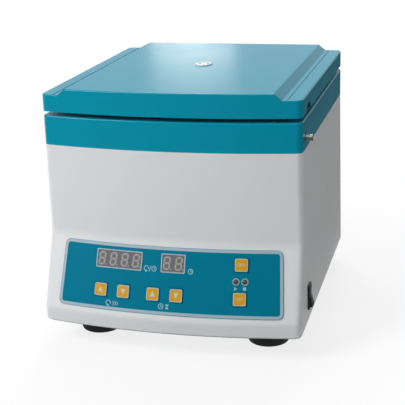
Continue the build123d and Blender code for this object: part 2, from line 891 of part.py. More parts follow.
with BuildPart() as motor_end_cap:
    turned(
        [
            (0, motor_z),
            (motor_bore, motor_z),
            (motor_bore, motor_z + end_cap_height),
            (cup_radius, motor_z + end_cap_height),
            (cup_radius, motor_z + end_cap_height + bearing_height),
            (bearing_radius, motor_z + end_cap_height + bearing_height),
            (bearing_radius, motor_z + end_cap_height),
            (0, motor_z + end_cap_height),
        ]
    )

bearing_lows = (motor_z + end_cap_height, motor_top_z - motor_wall - bearing_height)
bearing_bore = shaft_radius + running_clearance
with BuildPart() as motor_bearings:
    for low in bearing_lows:
        ring(bearing_bore, bearing_radius, low, low + bearing_height)

magnet_low = bearing_lows[1] - magnet_height
armature_radius = motor_bore - magnet_thickness - air_gap
with BuildPart() as field_magnets:
    ring(motor_bore - magnet_thickness, motor_bore, magnet_low, magnet_low + magnet_height)
    with BuildSketch(Plane.XY.offset(magnet_low)):
        with Locations((0, chamber_y)):
            Rectangle(2 * magnet_thickness, 2 * motor_radius)
    extrude(amount=magnet_height, mode=Mode.SUBTRACT)

commutator_low = bearing_lows[0] + bearing_height + air_gap
brush_z = commutator_low + commutator_height / 2
with BuildPart() as motor_brushes:
    for side in (-1, 1):
        face_x = side * (commutator_radius + brush_gap)
        with BuildSketch(Plane((face_x, chamber_y, brush_z), z_dir=(side, 0, 0))):
            Rectangle(brush_size, brush_size)
        extrude(amount=motor_bore - commutator_radius - brush_gap - air_gap / 2)

boot_top_z = neck_top_z - fit_clearance
boot_radius = neck_radius - sheet - fit_clearance
boot_foot_radius = boot_radius + 2 * boot_wall
with BuildPart() as shaft_boot:
    turned(
        [
            (boot_foot_radius - boot_wall, motor_top_z),
            (boot_foot_radius, motor_top_z),
            (boot_radius, bowl_floor_z - sheet),
            (boot_radius, boot_top_z),
            (boot_bore, boot_top_z),
            (boot_bore, boot_top_z - boot_wall),
            (boot_radius - boot_wall, boot_top_z - boot_wall),
            (boot_radius - boot_wall, bowl_floor_z - sheet),
        ]
    )

# Rotor: shaft, armature, cast head with six slanted seats, a closed sleeve in each seat and the nut on top
sleeve_planes = [sleeve_plane(full_turn * i / sleeve_count) for i in range(sleeve_count)]
slope_drop = head_thickness / cos(head_tilt)


def dish_z(r):
    """Height of the rotor head's dished top at one radius."""
    return seat_z + (r - seat_r) * tan(head_tilt)


rim_radius = dish_radius + head_rim_wall
rim_top = dish_z(dish_radius)
hub_low = crown_z - hub_length
shaft_low = motor_z + end_cap_height + fit_clearance
with BuildPart() as drive_shaft:
    turned(
        [
            (0, shaft_low),
            (shaft_radius, shaft_low),
            (shaft_radius, crown_z),
            (thread_radius, crown_z),
            (thread_radius, crown_z + nut_height * 0.6),
            (0, crown_z + nut_height * 0.6),
        ]
    )
    turned(
        [
            (shaft_radius, hub_low - sheet),
            (shaft_radius + sheet, hub_low - sheet),
            (shaft_radius + sheet, hub_low),
            (shaft_radius, hub_low),
        ]
    )

with BuildPart() as motor_armature:
    ring(shaft_radius, armature_radius, magnet_low, magnet_low + magnet_height)
    ring(shaft_radius, commutator_radius, commutator_low, magnet_low)

with BuildPart() as rotor_head:
    turned(
        [
            (shaft_radius, hub_low),
            (hub_radius, hub_low),
            (hub_radius, dish_z(hub_radius) - slope_drop),
            (dish_radius, rim_top - slope_drop),
            (dish_radius, rim_top - head_rim_height),
            (rim_radius, rim_top - head_rim_height),
            (rim_radius, rim_top),
            (dish_radius, rim_top),
            (crown_radius, dish_z(crown_radius)),
            (crown_radius, crown_z),
            (shaft_radius, crown_z),
        ]
    )
    for place in sleeve_planes:
        with BuildSketch(place):
            Circle(seat_radius)
        extrude(amount=-(seat_height + head_thickness))
    for place in sleeve_planes:
        with BuildSketch(place.offset(seat_height)):
            Circle(sleeve_radius + fit_clearance)
        extrude(amount=-3 * (seat_height + head_thickness), mode=Mode.SUBTRACT)

with BuildPart() as tube_sleeves:
    for place in sleeve_planes:
        with BuildSketch(place.offset(-sleeve_depth)):
            Circle(sleeve_radius)
        extrude(amount=sleeve_depth)
        with BuildSketch(place):
            Circle(sleeve_flange_radius)
        extrude(amount=sleeve_flange_height)
        with Locations(place.offset(-sleeve_depth)):
            Sphere(sleeve_radius)
        with BuildSketch(place.offset(-sleeve_depth)):
            Circle(sleeve_bore)
        extrude(amount=sleeve_depth + sleeve_flange_height, mode=Mode.SUBTRACT)
        with Locations(place.offset(-sleeve_depth)):
            Sphere(sleeve_bore, mode=Mode.SUBTRACT)

with BuildPart() as rotor_nut:
    with BuildSketch(Plane.XY.offset(crown_z)):
        with Locations((0, chamber_y)):
            Circle(nut_radius)
            with PolarLocations(nut_radius, nut_flutes):
                Circle(nut_flute_radius, mode=Mode.SUBTRACT)
    extrude(amount=nut_height)
    with BuildSketch(spin_plane):
        with BuildLine():
            Line((0, crown_z), (nut_radius, crown_z))
            Line((nut_radius, crown_z), (nut_radius, crown_z + nut_height - nut_edge_radius))
            ThreePointArc(
                (nut_radius, crown_z + nut_height - nut_edge_radius),
                (nut_radius * 0.7, crown_z + nut_height - nut_edge_radius / 3),
                (0, crown_z + nut_height),
            )
            Line((0, crown_z + nut_height), (0, crown_z))
        make_face()
    revolve(axis=spin_axis, mode=Mode.INTERSECT)
    with BuildSketch(Plane.XY.offset(crown_z)):
        with Locations((0, chamber_y)):
            Circle(thread_radius)
    extrude(amount=nut_height * 0.6, mode=Mode.SUBTRACT)

# Lid: a moulded cover with a raised middle between two side strips, closed below by a flat liner
step_half = half_width - strip_width
plateau_half = step_half - step_width
groove_half = step_half + groove_offset
liner_boss_spacing_x = body_width - 2 * liner_boss_from_side
liner_boss_spacing_y = body_depth / 2 - liner_boss_from_end
boss_places = GridLocations(liner_boss_spacing_x, liner_boss_spacing_y, 2, 3).locations
lid_top_plane = Plane((0, rear_y + corner_radius, 0), x_dir=(1, 0, 0), z_dir=(0, -1, 0))
notch_y = corner_y + notch_from_corner + notch_length / 2
notch_plane = Plane((half_width, notch_y, lid_z), x_dir=(0, 1, 0), z_dir=(1, 0, 0))


def lid_section(inset):
    """Cross-section of the lid seen from the front, set in from its outside."""
    step = inset * tan(atan2(plateau_rise, step_width) / 2)
    with BuildSketch(lid_top_plane) as section:
        with BuildLine():
            Polyline(
                (-half_width - corner_radius, lid_z - corner_radius),
                (half_width + corner_radius, lid_z - corner_radius),
                (half_width + corner_radius, strip_z - inset),
                (step_half - step, strip_z - inset),
                (plateau_half - step, plateau_z - inset),
                (step - plateau_half, plateau_z - inset),
                (step - step_half, strip_z - inset),
                (-half_width - corner_radius, strip_z - inset),
                close=True,
            )
        make_face()
    return section.sketch


section_length = 2 * body_depth
with BuildPart() as lid_hollow:
    extrude(top_plan(lid_z, wall), amount=skirt_height + plateau_rise)
    extrude(lid_section(wall), amount=section_length, mode=Mode.INTERSECT)

with BuildPart() as lid_shell:
    extrude(top_plan(lid_z, 0), amount=skirt_height + plateau_rise)
    extrude(lid_section(0), amount=section_length, mode=Mode.INTERSECT)
    top_edges = lid_shell.edges().filter_by(lambda edge: edge.bounding_box().min.Z > strip_z - edge_radius)
    fillet(top_edges, edge_radius)
    with BuildSketch(lid_top_plane):
        with Locations((-groove_half, strip_z), (groove_half, strip_z)):
            Rectangle(groove_width, 2 * groove_depth)
    extrude(amount=section_length, mode=Mode.SUBTRACT)
    add(lid_hollow.part, mode=Mode.SUBTRACT)
    with BuildSketch(Plane.XY.offset(liner_top_z)):
        with Locations((0, chamber_y)):
            with Locations(*boss_places):
                Circle(liner_boss_radius)
    extrude(amount=plateau_z - liner_top_z - wall / 2)
    with BuildSketch(Plane.XY.offset(liner_top_z)):
        with Locations((0, chamber_y)):
            Circle(window_radius + window_tube_wall + fit_clearance)
    extrude(amount=2 * skirt_height, mode=Mode.SUBTRACT)
    with BuildSketch(notch_plane):
        SlotOverall(notch_length, 2 * notch_height)
    extrude(amount=-1.5 * wall, mode=Mode.SUBTRACT)

with BuildPart() as lid_liner:
    extrude(top_plan(lid_z, wall + liner_clearance), amount=liner_thickness)
    with BuildSketch(Plane.XY.offset(lid_z)):
        with Locations((0, chamber_y)):
            Circle(window_radius + window_tube_wall + fit_clearance)
    extrude(amount=liner_thickness, mode=Mode.SUBTRACT)

window_seat_z = plateau_z + window_rim_height - window_thickness
with BuildPart() as window_bezel:
    turned(
        [
            (window_radius - window_tube_wall, lid_z),
            (window_radius + window_tube_wall, lid_z),
            (window_radius + window_tube_wall, plateau_z),
            (window_rim_radius, plateau_z),
            (window_rim_radius, plateau_z + window_rim_height / 2),
            (window_rim_radius - window_rim_height / 2, plateau_z + window_rim_height),
            (window_radius, plateau_z + window_rim_height),
            (window_radius, window_seat_z),
            (window_radius - window_tube_wall, window_seat_z),
        ]
    )

with BuildPart() as sight_window:
    with BuildSketch(spin_plane):
        with BuildLine():
            Polyline(
                (0, window_seat_z + window_thickness + window_dome),
                (0, window_seat_z),
                (window_radius, window_seat_z),
                (window_radius, window_seat_z + window_thickness),
            )
            TangentArc(
                (0, window_seat_z + window_thickness + window_dome),
                (window_radius, window_seat_z + window_thickness),
                tangent=(1, 0),
            )
        make_face()
    revolve(axis=spin_axis)

# Hinges: two pairs of steel leaves behind the lid gap, each pair on one pin
hinge_xs = (-hinge_spacing / 2, hinge_spacing / 2)
outer_knuckle = (hinge_width - knuckle_width) / 2 - knuckle_gap
pin_bore = hinge_pin_radius + running_clearance


def leaf(low_x, high_x, low_z, high_z):
    """Flat plate of a hinge leaf on the back wall."""
    with BuildSketch(rear_plane) as outline:
        with Locations((-(low_x + high_x) / 2, (low_z + high_z) / 2)):
            Rectangle(high_x - low_x, high_z - low_z)
    extrude(outline.sketch, amount=hinge_plate)


def knuckle(low_x, high_x, bore, wing):
    """Rolled knuckle round the hinge pin, with the web that joins it to its leaf."""
    with BuildSketch(Plane((low_x, 0, 0), x_dir=(0, 1, 0), z_dir=(1, 0, 0))) as outline:
        with Locations((pivot_y, pivot_z)):
            Circle(knuckle_radius)
        with Locations((rear_y + hinge_plate / 2 + knuckle_gap / 2, pivot_z + wing / 2)):
            Rectangle(hinge_plate - knuckle_gap, abs(wing))
        with Locations((pivot_y, pivot_z)):
            Circle(bore, mode=Mode.SUBTRACT)
    extrude(outline.sketch, amount=high_x - low_x)


knuckle_clear = knuckle_radius + knuckle_gap
lid_leaf_low = pivot_z + knuckle_clear
with BuildPart() as hinge_body_leaves:
    for x in hinge_xs:
        leaf(x - hinge_width / 2, x + hinge_width / 2, pivot_z - body_leaf_drop, pivot_z - knuckle_clear)
        for side in (-1, 1):
            low_x = x + side * (hinge_width - outer_knuckle) / 2 - outer_knuckle / 2
            knuckle(low_x, low_x + outer_knuckle, hinge_pin_radius, -knuckle_clear)

with BuildPart() as hinge_lid_leaves:
    for x in hinge_xs:
        leaf(x - hinge_width / 2, x + hinge_width / 2, lid_leaf_low, lid_leaf_low + lid_leaf_height)
        knuckle(x - knuckle_width / 2, x + knuckle_width / 2, pin_bore, knuckle_clear)

with BuildPart() as hinge_pins:
    for x in hinge_xs:
        with BuildSketch(Plane((x - hinge_width / 2, pivot_y, pivot_z), x_dir=(0, 1, 0), z_dir=(1, 0, 0))):
            Circle(hinge_pin_radius)
        extrude(amount=hinge_width)
        for side in (-1, 1):
            end_x = x + side * hinge_width / 2
            with BuildSketch(Plane((end_x, pivot_y, pivot_z), x_dir=(0, 1, 0), z_dir=(side, 0, 0))):
                Circle(hinge_pin_radius + hinge_pin_head / 2)
            extrude(amount=hinge_pin_head)

# Lid lock: push the pin in and its end passes through the eye of the hook
latch_plane = Plane((0, latch_y, latch_z), x_dir=(0, 1, 0), z_dir=(1, 0, 0))
wall_inside = half_width - wall
bush_inner_x = half_width - bush_length
with BuildPart() as latch_bush:
    with BuildSketch(latch_plane.offset(bush_inner_x)):
        Circle(bush_radius)
    extrude(amount=bush_length)
    with BuildSketch(latch_plane.offset(wall_inside)):
        Circle(bush_flange_radius)
    extrude(amount=-bush_flange_height)
    with BuildSketch(latch_plane.offset(bush_inner_x)):
        Circle(latch_pin_radius + running_clearance)
    extrude(amount=bush_length, mode=Mode.SUBTRACT)
    with BuildSketch(latch_plane.offset(half_width)):
        Circle(latch_tip_radius + slide_clearance)
    extrude(amount=-latch_sink, mode=Mode.SUBTRACT)

with BuildPart() as latch_pin:
    with BuildSketch(latch_plane.offset(latch_end_x)):
        Circle(latch_pin_radius)
    extrude(amount=latch_tip_x - latch_tip_length - latch_end_x)
    chamfer(latch_pin.edges().group_by(Axis.X)[0], latch_edge_radius)
    with BuildSketch(latch_plane.offset(latch_tip_x - latch_tip_length)):
        Circle(latch_tip_radius)
    extrude(amount=latch_tip_length)
    fillet(latch_pin.edges().group_by(Axis.X)[-1], latch_edge_radius)

hook_low_z = latch_z - hook_below_pin
with BuildPart() as lid_hook:
    with BuildSketch(latch_plane.offset(hook_outer_x - hook_thickness)):
        with Locations((0, (hook_low_z + lid_z) / 2 - latch_z)):
            Rectangle(hook_width, lid_z - hook_low_z)
    extrude(amount=hook_thickness)
    fillet(lid_hook.edges().filter_by(Axis.X).group_by(Axis.Z)[0], hook_width / 3)
    with BuildSketch(Plane.XY.offset(lid_z)):
        with Locations((hook_outer_x - hook_foot / 2, latch_y)):
            Rectangle(hook_foot, hook_width)
    extrude(amount=-hook_foot_thickness)
    with BuildSketch(latch_plane.offset(hook_outer_x - hook_thickness)):
        Rectangle(eye_width, eye_height)
    extrude(amount=hook_thickness, mode=Mode.SUBTRACT)

# Lid sensor under the deck and its magnet in the lid
sensor_x = -half_width + sensor_from_wall
sensor_y = corner_y + sensor_from_corner
with BuildPart() as lid_sensor:
    with BuildSketch(Plane.XY.offset(deck_z - deck_thickness)):
        with Locations((sensor_x, sensor_y)):
            Rectangle(sensor_width, sensor_depth)
    extrude(amount=-sensor_height)

with BuildPart() as lid_magnet:
    with BuildSketch(Plane.XY.offset(liner_top_z)):
        with Locations((sensor_x, sensor_y)):
            Circle(magnet_radius)
    extrude(amount=sensor_height)

# Power switch: bezel with a hollow body, and a rocker on an axle in it
rocker_opening_width = rocker_bezel_width - 2 * rocker_frame
rocker_opening_height = rocker_bezel_height - 2 * rocker_frame
rocker_reach = rocker_opening_height / 2 - slide_clearance
pivot_plane = rocker_plane.offset(rocker_bezel_thickness - rocker_pivot_depth)
with BuildPart() as rocker_bezel:
    with BuildSketch(rocker_plane):
        RectangleRounded(rocker_bezel_width, rocker_bezel_height, rocker_bezel_corner)
    extrude(amount=rocker_bezel_thickness)
    with BuildSketch(rocker_plane):
        Rectangle(rocker_opening_width + 2 * rocker_shell, rocker_opening_height + 2 * rocker_shell)
    extrude(amount=-rocker_body_depth)
    with BuildSketch(rocker_plane.offset(rocker_bezel_thickness)):
        Rectangle(rocker_opening_width, rocker_opening_height)
    extrude(amount=-(rocker_bezel_thickness + rocker_body_depth - rocker_shell), mode=Mode.SUBTRACT)
    with BuildSketch(Plane(pivot_plane.origin, x_dir=pivot_plane.y_dir, z_dir=pivot_plane.x_dir)):
        Circle(rocker_axle_radius)
    extrude(amount=rocker_opening_width / 2 + rocker_shell / 2, both=True)
    with BuildSketch(rocker_plane.offset(-rocker_body_depth)):
        with GridLocations(1, rocker_opening_height / 3, 1, 3):
            Rectangle(tab_width, tab_thickness)
    extrude(amount=-tab_length)

rocker_view = Plane(pivot_plane.origin, x_dir=pivot_plane.y_dir, z_dir=pivot_plane.x_dir)
tilt = radians(rocker_tilt)
crown_height = rocker_pivot_depth + rocker_crown
with BuildPart() as power_rocker:
    with BuildSketch(rocker_view) as side_view:
        Circle(rocker_reach)
        with BuildLine():
            Polyline(
                (-2 * rocker_reach, -rocker_depth),
                (2 * rocker_reach, -rocker_depth),
                (2 * rocker_reach, crown_height),
                (0, crown_height),
                (-2 * rocker_reach, crown_height + 2 * rocker_reach * tan(2 * tilt)),
                close=True,
            )
        make_face(mode=Mode.INTERSECT)
        Circle(rocker_axle_radius + running_clearance, mode=Mode.SUBTRACT)
    extrude(amount=rocker_opening_width / 2 - slide_clearance, both=True)

# Mains inlet with its three blades, and the fuse holder beside it
inlet_plane = Plane((inlet_x, rear_y, inlet_z), x_dir=(-1, 0, 0), z_dir=(0, 1, 0))


def inlet_outline(margin):
    """Six-sided outline of the appliance inlet, with its two lower corners cut off."""
    width = inlet_mouth_width / 2 + margin
    height = inlet_mouth_height / 2 + margin
    with BuildSketch(inlet_plane) as outline:
        with BuildLine():
            Polyline(
                (-width, height),
                (width, height),
                (width, inlet_chamfer - height),
                (width - inlet_chamfer, -height),
                (inlet_chamfer - width, -height),
                (-width, inlet_chamfer - height),
                close=True,
            )
        make_face()
    return outline.sketch


with BuildPart() as mains_inlet:
    extrude(inlet_outline(inlet_shell), amount=-(inlet_mouth_depth + inlet_shell))
    with BuildSketch(inlet_plane):
        RectangleRounded(inlet_flange_width, inlet_flange_height, corner_radius)
    extrude(amount=inlet_flange_thickness)
    extrude(inlet_outline(0), amount=-inlet_mouth_depth, mode=Mode.SUBTRACT)
    extrude(inlet_outline(0), amount=inlet_flange_thickness, mode=Mode.SUBTRACT)

pin_drop = inlet_earth_rise / 2
with BuildPart() as inlet_pins:
    with BuildSketch(inlet_plane.offset(-inlet_mouth_depth)):
        with Locations((-inlet_pin_pitch, -pin_drop), (inlet_pin_pitch, -pin_drop), (0, pin_drop)):
            Rectangle(inlet_pin_width, inlet_pin_height)
    extrude(amount=inlet_pin_length)

fuse_plane = Plane((fuse_x, rear_y, inlet_z), x_dir=(-1, 0, 0), z_dir=(0, 1, 0))
with BuildPart() as fuse_holder:
    with BuildSketch(fuse_plane):
        Circle(fuse_barrel_radius)
    extrude(amount=-fuse_barrel_length)
    with BuildSketch(fuse_plane):
        Circle(fuse_cap_radius)
    extrude(amount=fuse_cap_height)
    with BuildSketch(fuse_plane.offset(fuse_cap_height)):
        Rectangle(fuse_cap_radius * 1.3, fuse_cap_height / 4)
    extrude(amount=-fuse_cap_height / 4, mode=Mode.SUBTRACT)

# Transformer and drive board on the base plate
transformer_x = transformer_from_side - half_width
transformer_y = rear_y - transformer_from_back
with BuildPart() as transformer_core:
    with BuildSketch(Plane.XY.offset(base_top)):
        with Locations((transformer_x, transformer_y)):
            Rectangle(transformer_width, transformer_depth)
    extrude(amount=transformer_height)
    with BuildSketch(Plane.XY.offset(base_top + coil_margin)):
        with Locations((transformer_x, transformer_y)):
            Rectangle(coil_width, transformer_depth)
    extrude(amount=transformer_height - 2 * coil_margin, mode=Mode.SUBTRACT)

with BuildPart() as transformer_coil:
    with BuildSketch(Plane.XY.offset(base_top + coil_margin)):
        with Locations((transformer_x, transformer_y)):
            RectangleRounded(coil_width, coil_depth, corner_radius)
    extrude(amount=transformer_height - 2 * coil_margin)

drive_board_x = half_width - drive_board_from_side
drive_board_high_y = rear_y - drive_board_back_gap
drive_board_low_y = chamber_y + damper_spacing_y / 2 + damper_radius + drive_board_damper_gap
drive_board_depth = drive_board_high_y - drive_board_low_y
drive_y = (drive_board_high_y + drive_board_low_y) / 2
drive_board_z = base_top + drive_post_height
drive_post_spacing_x = drive_board_width - 2 * drive_post_inset
drive_post_spacing_y = drive_board_depth - 2 * drive_post_inset
with BuildPart() as drive_board:
    with BuildSketch(Plane.XY.offset(drive_board_z)):
        with Locations((drive_board_x, drive_y)):
            Rectangle(drive_board_width, drive_board_depth)
    extrude(amount=board_thickness)

with BuildPart() as drive_board_posts:
    with BuildSketch(Plane.XY.offset(base_top)):
        with Locations((drive_board_x, drive_y)):
            with GridLocations(drive_post_spacing_x, drive_post_spacing_y, 2, 2):
                Circle(drive_post_radius)
    extrude(amount=drive_post_height)

with BuildPart() as smoothing_capacitor:
    with BuildSketch(Plane.XY.offset(drive_board_z + board_thickness)):
        with Locations((drive_board_x + capacitor_offset, drive_y)):
            Circle(capacitor_radius)
    extrude(amount=capacitor_height)
    fillet(smoothing_capacitor.edges().group_by(Axis.Z)[-1], edge_radius)

pieces = {
    "housing_shell": housing_shell,
    "top_collar": top_collar,
    "base_plate": base_plate,
    "tie_rods": tie_rods,
    "rubber_feet": rubber_feet,
    "foot_screws": foot_screws,
    "control_overlay": control_overlay,
    "control_board": control_board,
    "board_standoffs": board_standoffs,
    "speed_display": speed_display,
    "time_display": time_display,
    "key_speed_up": key_speed_up,
    "key_speed_down": key_speed_down,
    "key_time_up": key_time_up,
    "key_time_down": key_time_down,
    "key_on": key_on,
    "key_off": key_off,
    "key_switches": key_switches,
    "run_led": run_led,
    "stop_led": stop_led,
    "led_bezels": led_bezels,
    "chamber_bowl": chamber_bowl,
    "chamber_gasket": chamber_gasket,
    "motor_dampers": motor_dampers,
    "damper_bolts": damper_bolts,
    "motor_plate": motor_plate,
    "motor_can": motor_can,
    "motor_end_cap": motor_end_cap,
    "motor_bearings": motor_bearings,
    "field_magnets": field_magnets,
    "motor_brushes": motor_brushes,
    "shaft_boot": shaft_boot,
    "drive_shaft": drive_shaft,
    "motor_armature": motor_armature,
    "rotor_head": rotor_head,
    "tube_sleeves": tube_sleeves,
    "rotor_nut": rotor_nut,
    "lid_shell": lid_shell,
    "lid_liner": lid_liner,
    "window_bezel": window_bezel,
    "sight_window": sight_window,
    "hinge_body_leaves": hinge_body_leaves,
    "hinge_lid_leaves": hinge_lid_leaves,
    "hinge_pins": hinge_pins,
    "latch_bush": latch_bush,
    "latch_pin": latch_pin,
    "lid_hook": lid_hook,
    "lid_sensor": lid_sensor,
    "lid_magnet": lid_magnet,
    "rocker_bezel": rocker_bezel,
    "power_rocker": power_rocker,
    "mains_inlet": mains_inlet,
    "inlet_pins": inlet_pins,
    "fuse_holder": fuse_holder,
    "transformer_core": transformer_core,
    "transformer_coil": transformer_coil,
    "drive_board": drive_board,
    "drive_board_posts": drive_board_posts,
    "smoothing_capacitor": smoothing_capacitor,
}
os.makedirs("parts", exist_ok=True)
for label, piece in pieces.items():
    piece.part.label = label
    export_step(piece.part, f"parts/{label}.step")
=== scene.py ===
"""Looks of a low-speed bench centrifuge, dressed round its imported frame.

Sizes are real ones in millimetres and every mesh is in metres, in the frame's own axes: X to the right
as seen from the front, Y to the rear and Z up, with the origin on the bench under the middle of the part.
"""

import json
import logging
import math
from dataclasses import dataclass, field
from enum import Enum
from typing import Any, Callable, Optional, Sequence

import bpy
from mathutils import Matrix, Vector
from mathutils.geometry import tessellate_polygon

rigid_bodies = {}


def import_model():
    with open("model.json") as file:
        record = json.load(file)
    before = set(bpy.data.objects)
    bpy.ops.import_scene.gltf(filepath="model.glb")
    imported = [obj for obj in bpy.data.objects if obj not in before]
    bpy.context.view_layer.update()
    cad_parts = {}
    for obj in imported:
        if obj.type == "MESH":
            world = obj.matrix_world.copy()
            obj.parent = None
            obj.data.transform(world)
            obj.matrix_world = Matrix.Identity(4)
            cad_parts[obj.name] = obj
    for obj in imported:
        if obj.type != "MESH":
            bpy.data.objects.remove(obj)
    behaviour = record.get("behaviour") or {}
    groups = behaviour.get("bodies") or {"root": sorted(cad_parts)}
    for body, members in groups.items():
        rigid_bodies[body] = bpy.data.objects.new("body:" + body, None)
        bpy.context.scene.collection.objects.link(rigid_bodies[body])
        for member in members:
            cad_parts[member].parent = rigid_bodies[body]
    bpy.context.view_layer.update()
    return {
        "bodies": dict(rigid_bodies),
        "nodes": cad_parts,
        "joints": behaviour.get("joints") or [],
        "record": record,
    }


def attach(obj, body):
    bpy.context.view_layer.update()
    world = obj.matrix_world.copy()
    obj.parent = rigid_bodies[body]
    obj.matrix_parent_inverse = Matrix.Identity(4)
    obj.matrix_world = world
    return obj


LOG = logging.getLogger("centrifuge")
MM = 0.001
SHADER = "Principled BSDF"
SINK = 0.1  # how far a print reaches into what carries it, in millimetres
BOLD = 0.06  # how far a letter's outline is spread, in millimetres
CREASE = math.radians(30)  # an edge that turns by more stays sharp

Point = tuple[float, float]
Outline = list[Point]
Place = Callable[[float, float, float], Vector]
Tree = bpy.types.NodeTree
Socket = bpy.types.NodeSocket


def linear(colour: str) -> tuple[float, float, float, float]:
    """Turn an sRGB hex colour into a linear one.

    Args:
        colour: Six hex digits with a leading hash.

    Returns:
        Linear red, green and blue, and full opacity.
    """
    channels = []
    for start in (1, 3, 5):
        value = int(colour[start : start + 2], 16) / 255
        channels.append(value / 12.92 if value <= 0.04045 else ((value + 0.055) / 1.055) ** 2.4)
    return channels[0], channels[1], channels[2], 1.0


def add_node(
    tree: Tree, kind: str, inputs: Optional[dict[Any, Any]] = None, **settings: Any
) -> bpy.types.Node:
    """Add one shader node.

    Args:
        tree: Node tree that takes the node.
        kind: Blender's name of the node type, after its common beginning.
        inputs: What goes into its sockets, by name or number. A socket is linked and anything else is set.
        settings: The node's own properties, by name.

    Returns:
        The new node.
    """
    node = tree.nodes.new("ShaderNode" + kind)
    for name, value in settings.items():
        setattr(node, name, value)
    for name, value in (inputs or {}).items():
        if isinstance(value, Socket):
            tree.links.new(value, node.inputs[name])
        else:
            node.inputs[name].default_value = value
    return node


# Finishes


@dataclass(frozen=True)
class Pattern:
    """A value that varies over the surface, with the two values between which it mostly lies."""

    socket: Socket
    low: float = 0.3
    high: float = 0.7

    def over(self, start: float, end: float) -> dict[str, Any]:
        """What spreads the pattern from one number to another in a node that maps a range."""
        reach = {"From Min": self.low, "From Max": self.high, "To Min": start, "To Max": end}
        return {"Value": self.socket} | reach


@dataclass(frozen=True)
class Finish:
    """One material of the object, with the numbers that its shader starts from."""

    name: str
    colour: str
    roughness: float
    slot: str
    metallic: float = 0.0
    ior: float = 1.5
    specular: float = 0.5

    def material(self) -> bpy.types.Material:
        """Make the material, or find it if it is already made.

        Returns:
            The Blender material with its nodes.
        """
        made = bpy.data.materials.get(self.name)
        if made is not None:
            return made
        made = bpy.data.materials.new(self.name)
        made.use_nodes = True
        shader = made.node_tree.nodes[SHADER]
        shader.inputs["Base Color"].default_value = linear(self.colour)
        shader.inputs["Roughness"].default_value = self.roughness
        shader.inputs["Metallic"].default_value = self.metallic
        shader.inputs["IOR"].default_value = self.ior
        shader.inputs["Specular IOR Level"].default_value = self.specular
        made.diffuse_color = linear(self.colour)
        made.roughness = self.roughness
        made.metallic = self.metallic
        self.pattern(made.node_tree)
        return made

    def pattern(self, tree: Tree) -> None:
        """Add what varies over the surface; a plain finish adds nothing.

        Args:
            tree: Node tree with the finish's shader.
        """

    def noise(self, tree: Tree, size: float, detail: float = 2.0) -> Pattern:
        """Make a cloudy pattern of a real size.

        Args:
            tree: Node tree that takes the nodes.
            size: Width of one blotch in millimetres.
            detail: How many finer layers lie on it.

        Returns:
            The pattern.
        """
        place = add_node(tree, "TexCoord")
        inputs = {"Vector": place.outputs["Object"], "Scale": 1 / (size * MM), "Detail": detail}
        return Pattern(add_node(tree, "TexNoise", inputs).outputs[0])

    def vary(
        self,
        tree: Tree,
        tone: Optional[tuple[Pattern, str, float]] = None,
        gloss: Optional[tuple[Pattern, float, float]] = None,
        relief: Optional[tuple[Pattern, float]] = None,
    ) -> None:
        """Let the colour, the gloss and the height of the surface follow patterns.

        Args:
            tree: Node tree with the finish's shader.
            tone: A pattern, another colour as sRGB hex and the most of it that shows.
            gloss: A pattern, and how far the roughness falls and rises with it.
            relief: A pattern and its real depth in millimetres.
        """
        shader = tree.nodes[SHADER]
        if tone is not None:
            pattern, other, most = tone
            share = add_node(tree, "MapRange", pattern.over(0.0, most))
            inputs = {"Factor": share.outputs[0], 6: linear(self.colour), 7: linear(other)}
            mix = add_node(tree, "Mix", inputs, data_type="RGBA")
            tree.links.new(mix.outputs[2], shader.inputs["Base Color"])
        if gloss is not None:
            pattern, fall, rise = gloss
            inputs = pattern.over(self.roughness - fall, self.roughness + rise)
            rough = add_node(tree, "MapRange", inputs)
            tree.links.new(rough.outputs[0], shader.inputs["Roughness"])
        if relief is not None:
            pattern, depth = relief
            inputs = {"Height": pattern.socket, "Distance": depth * MM, "Strength": 1.0}
            bump = add_node(tree, "Bump", inputs)
            tree.links.new(bump.outputs["Normal"], shader.inputs["Normal"])


@dataclass(frozen=True)
class MouldedPlastic(Finish):
    """Injection-moulded plastic: even colour, fine mould texture and slow changes of gloss from its flow."""

    ior: float = 1.53
    flow: str = "#808080"
    flow_size: float = 90.0
    flow_share: float = 0.35
    # Real mould texture is finer than the render shows, so it is drawn this coarse
    grain: float = 1.2
    grain_depth: float = 0.02
    gloss_change: float = 0.04

    def pattern(self, tree: Tree) -> None:
        """Add the flow tone, the change of gloss and the mould's grain.

        Args:
            tree: Node tree with the finish's shader.
        """
        tone = (self.noise(tree, self.flow_size), self.flow, self.flow_share)
        gloss = (self.noise(tree, self.flow_size / 2), self.gloss_change, self.gloss_change)
        self.vary(tree, tone, gloss, (self.noise(tree, self.grain, 3.0), self.grain_depth))


@dataclass(frozen=True)
class MouldedRubber(Finish):
    """Moulded rubber: near black, matte, with a dusty bloom in blotches and a fine pitted skin."""

    bloom: str = "#2e2f31"
    bloom_size: float = 14.0
    # Real pits are finer than the render shows, so they are drawn this coarse
    pit: float = 0.9
    pit_depth: float = 0.03

    def pattern(self, tree: Tree) -> None:
        """Add the bloom and the pitted skin.

        Args:
            tree: Node tree with the finish's shader.
        """
        bloom = (self.noise(tree, self.bloom_size, 4.0), self.bloom, 1.0)
        self.vary(tree, bloom, relief=(self.noise(tree, self.pit), self.pit_depth))


@dataclass(frozen=True)
class PlatedSteel(Finish):
    """Sheet steel or screws with a thin metal plating: soft shine with a faint crystal bloom."""

    bloom: str = "#8f9496"
    crystal: float = 6.0
    gloss_fall: float = 0.08
    gloss_rise: float = 0.1

    def pattern(self, tree: Tree) -> None:
        """Add the crystal bloom in tone and in gloss.

        Args:
            tree: Node tree with the finish's shader.
        """
        crystal = self.noise(tree, self.crystal, 3.0)
        self.vary(tree, (crystal, self.bloom, 1.0), (crystal, self.gloss_fall, self.gloss_rise))


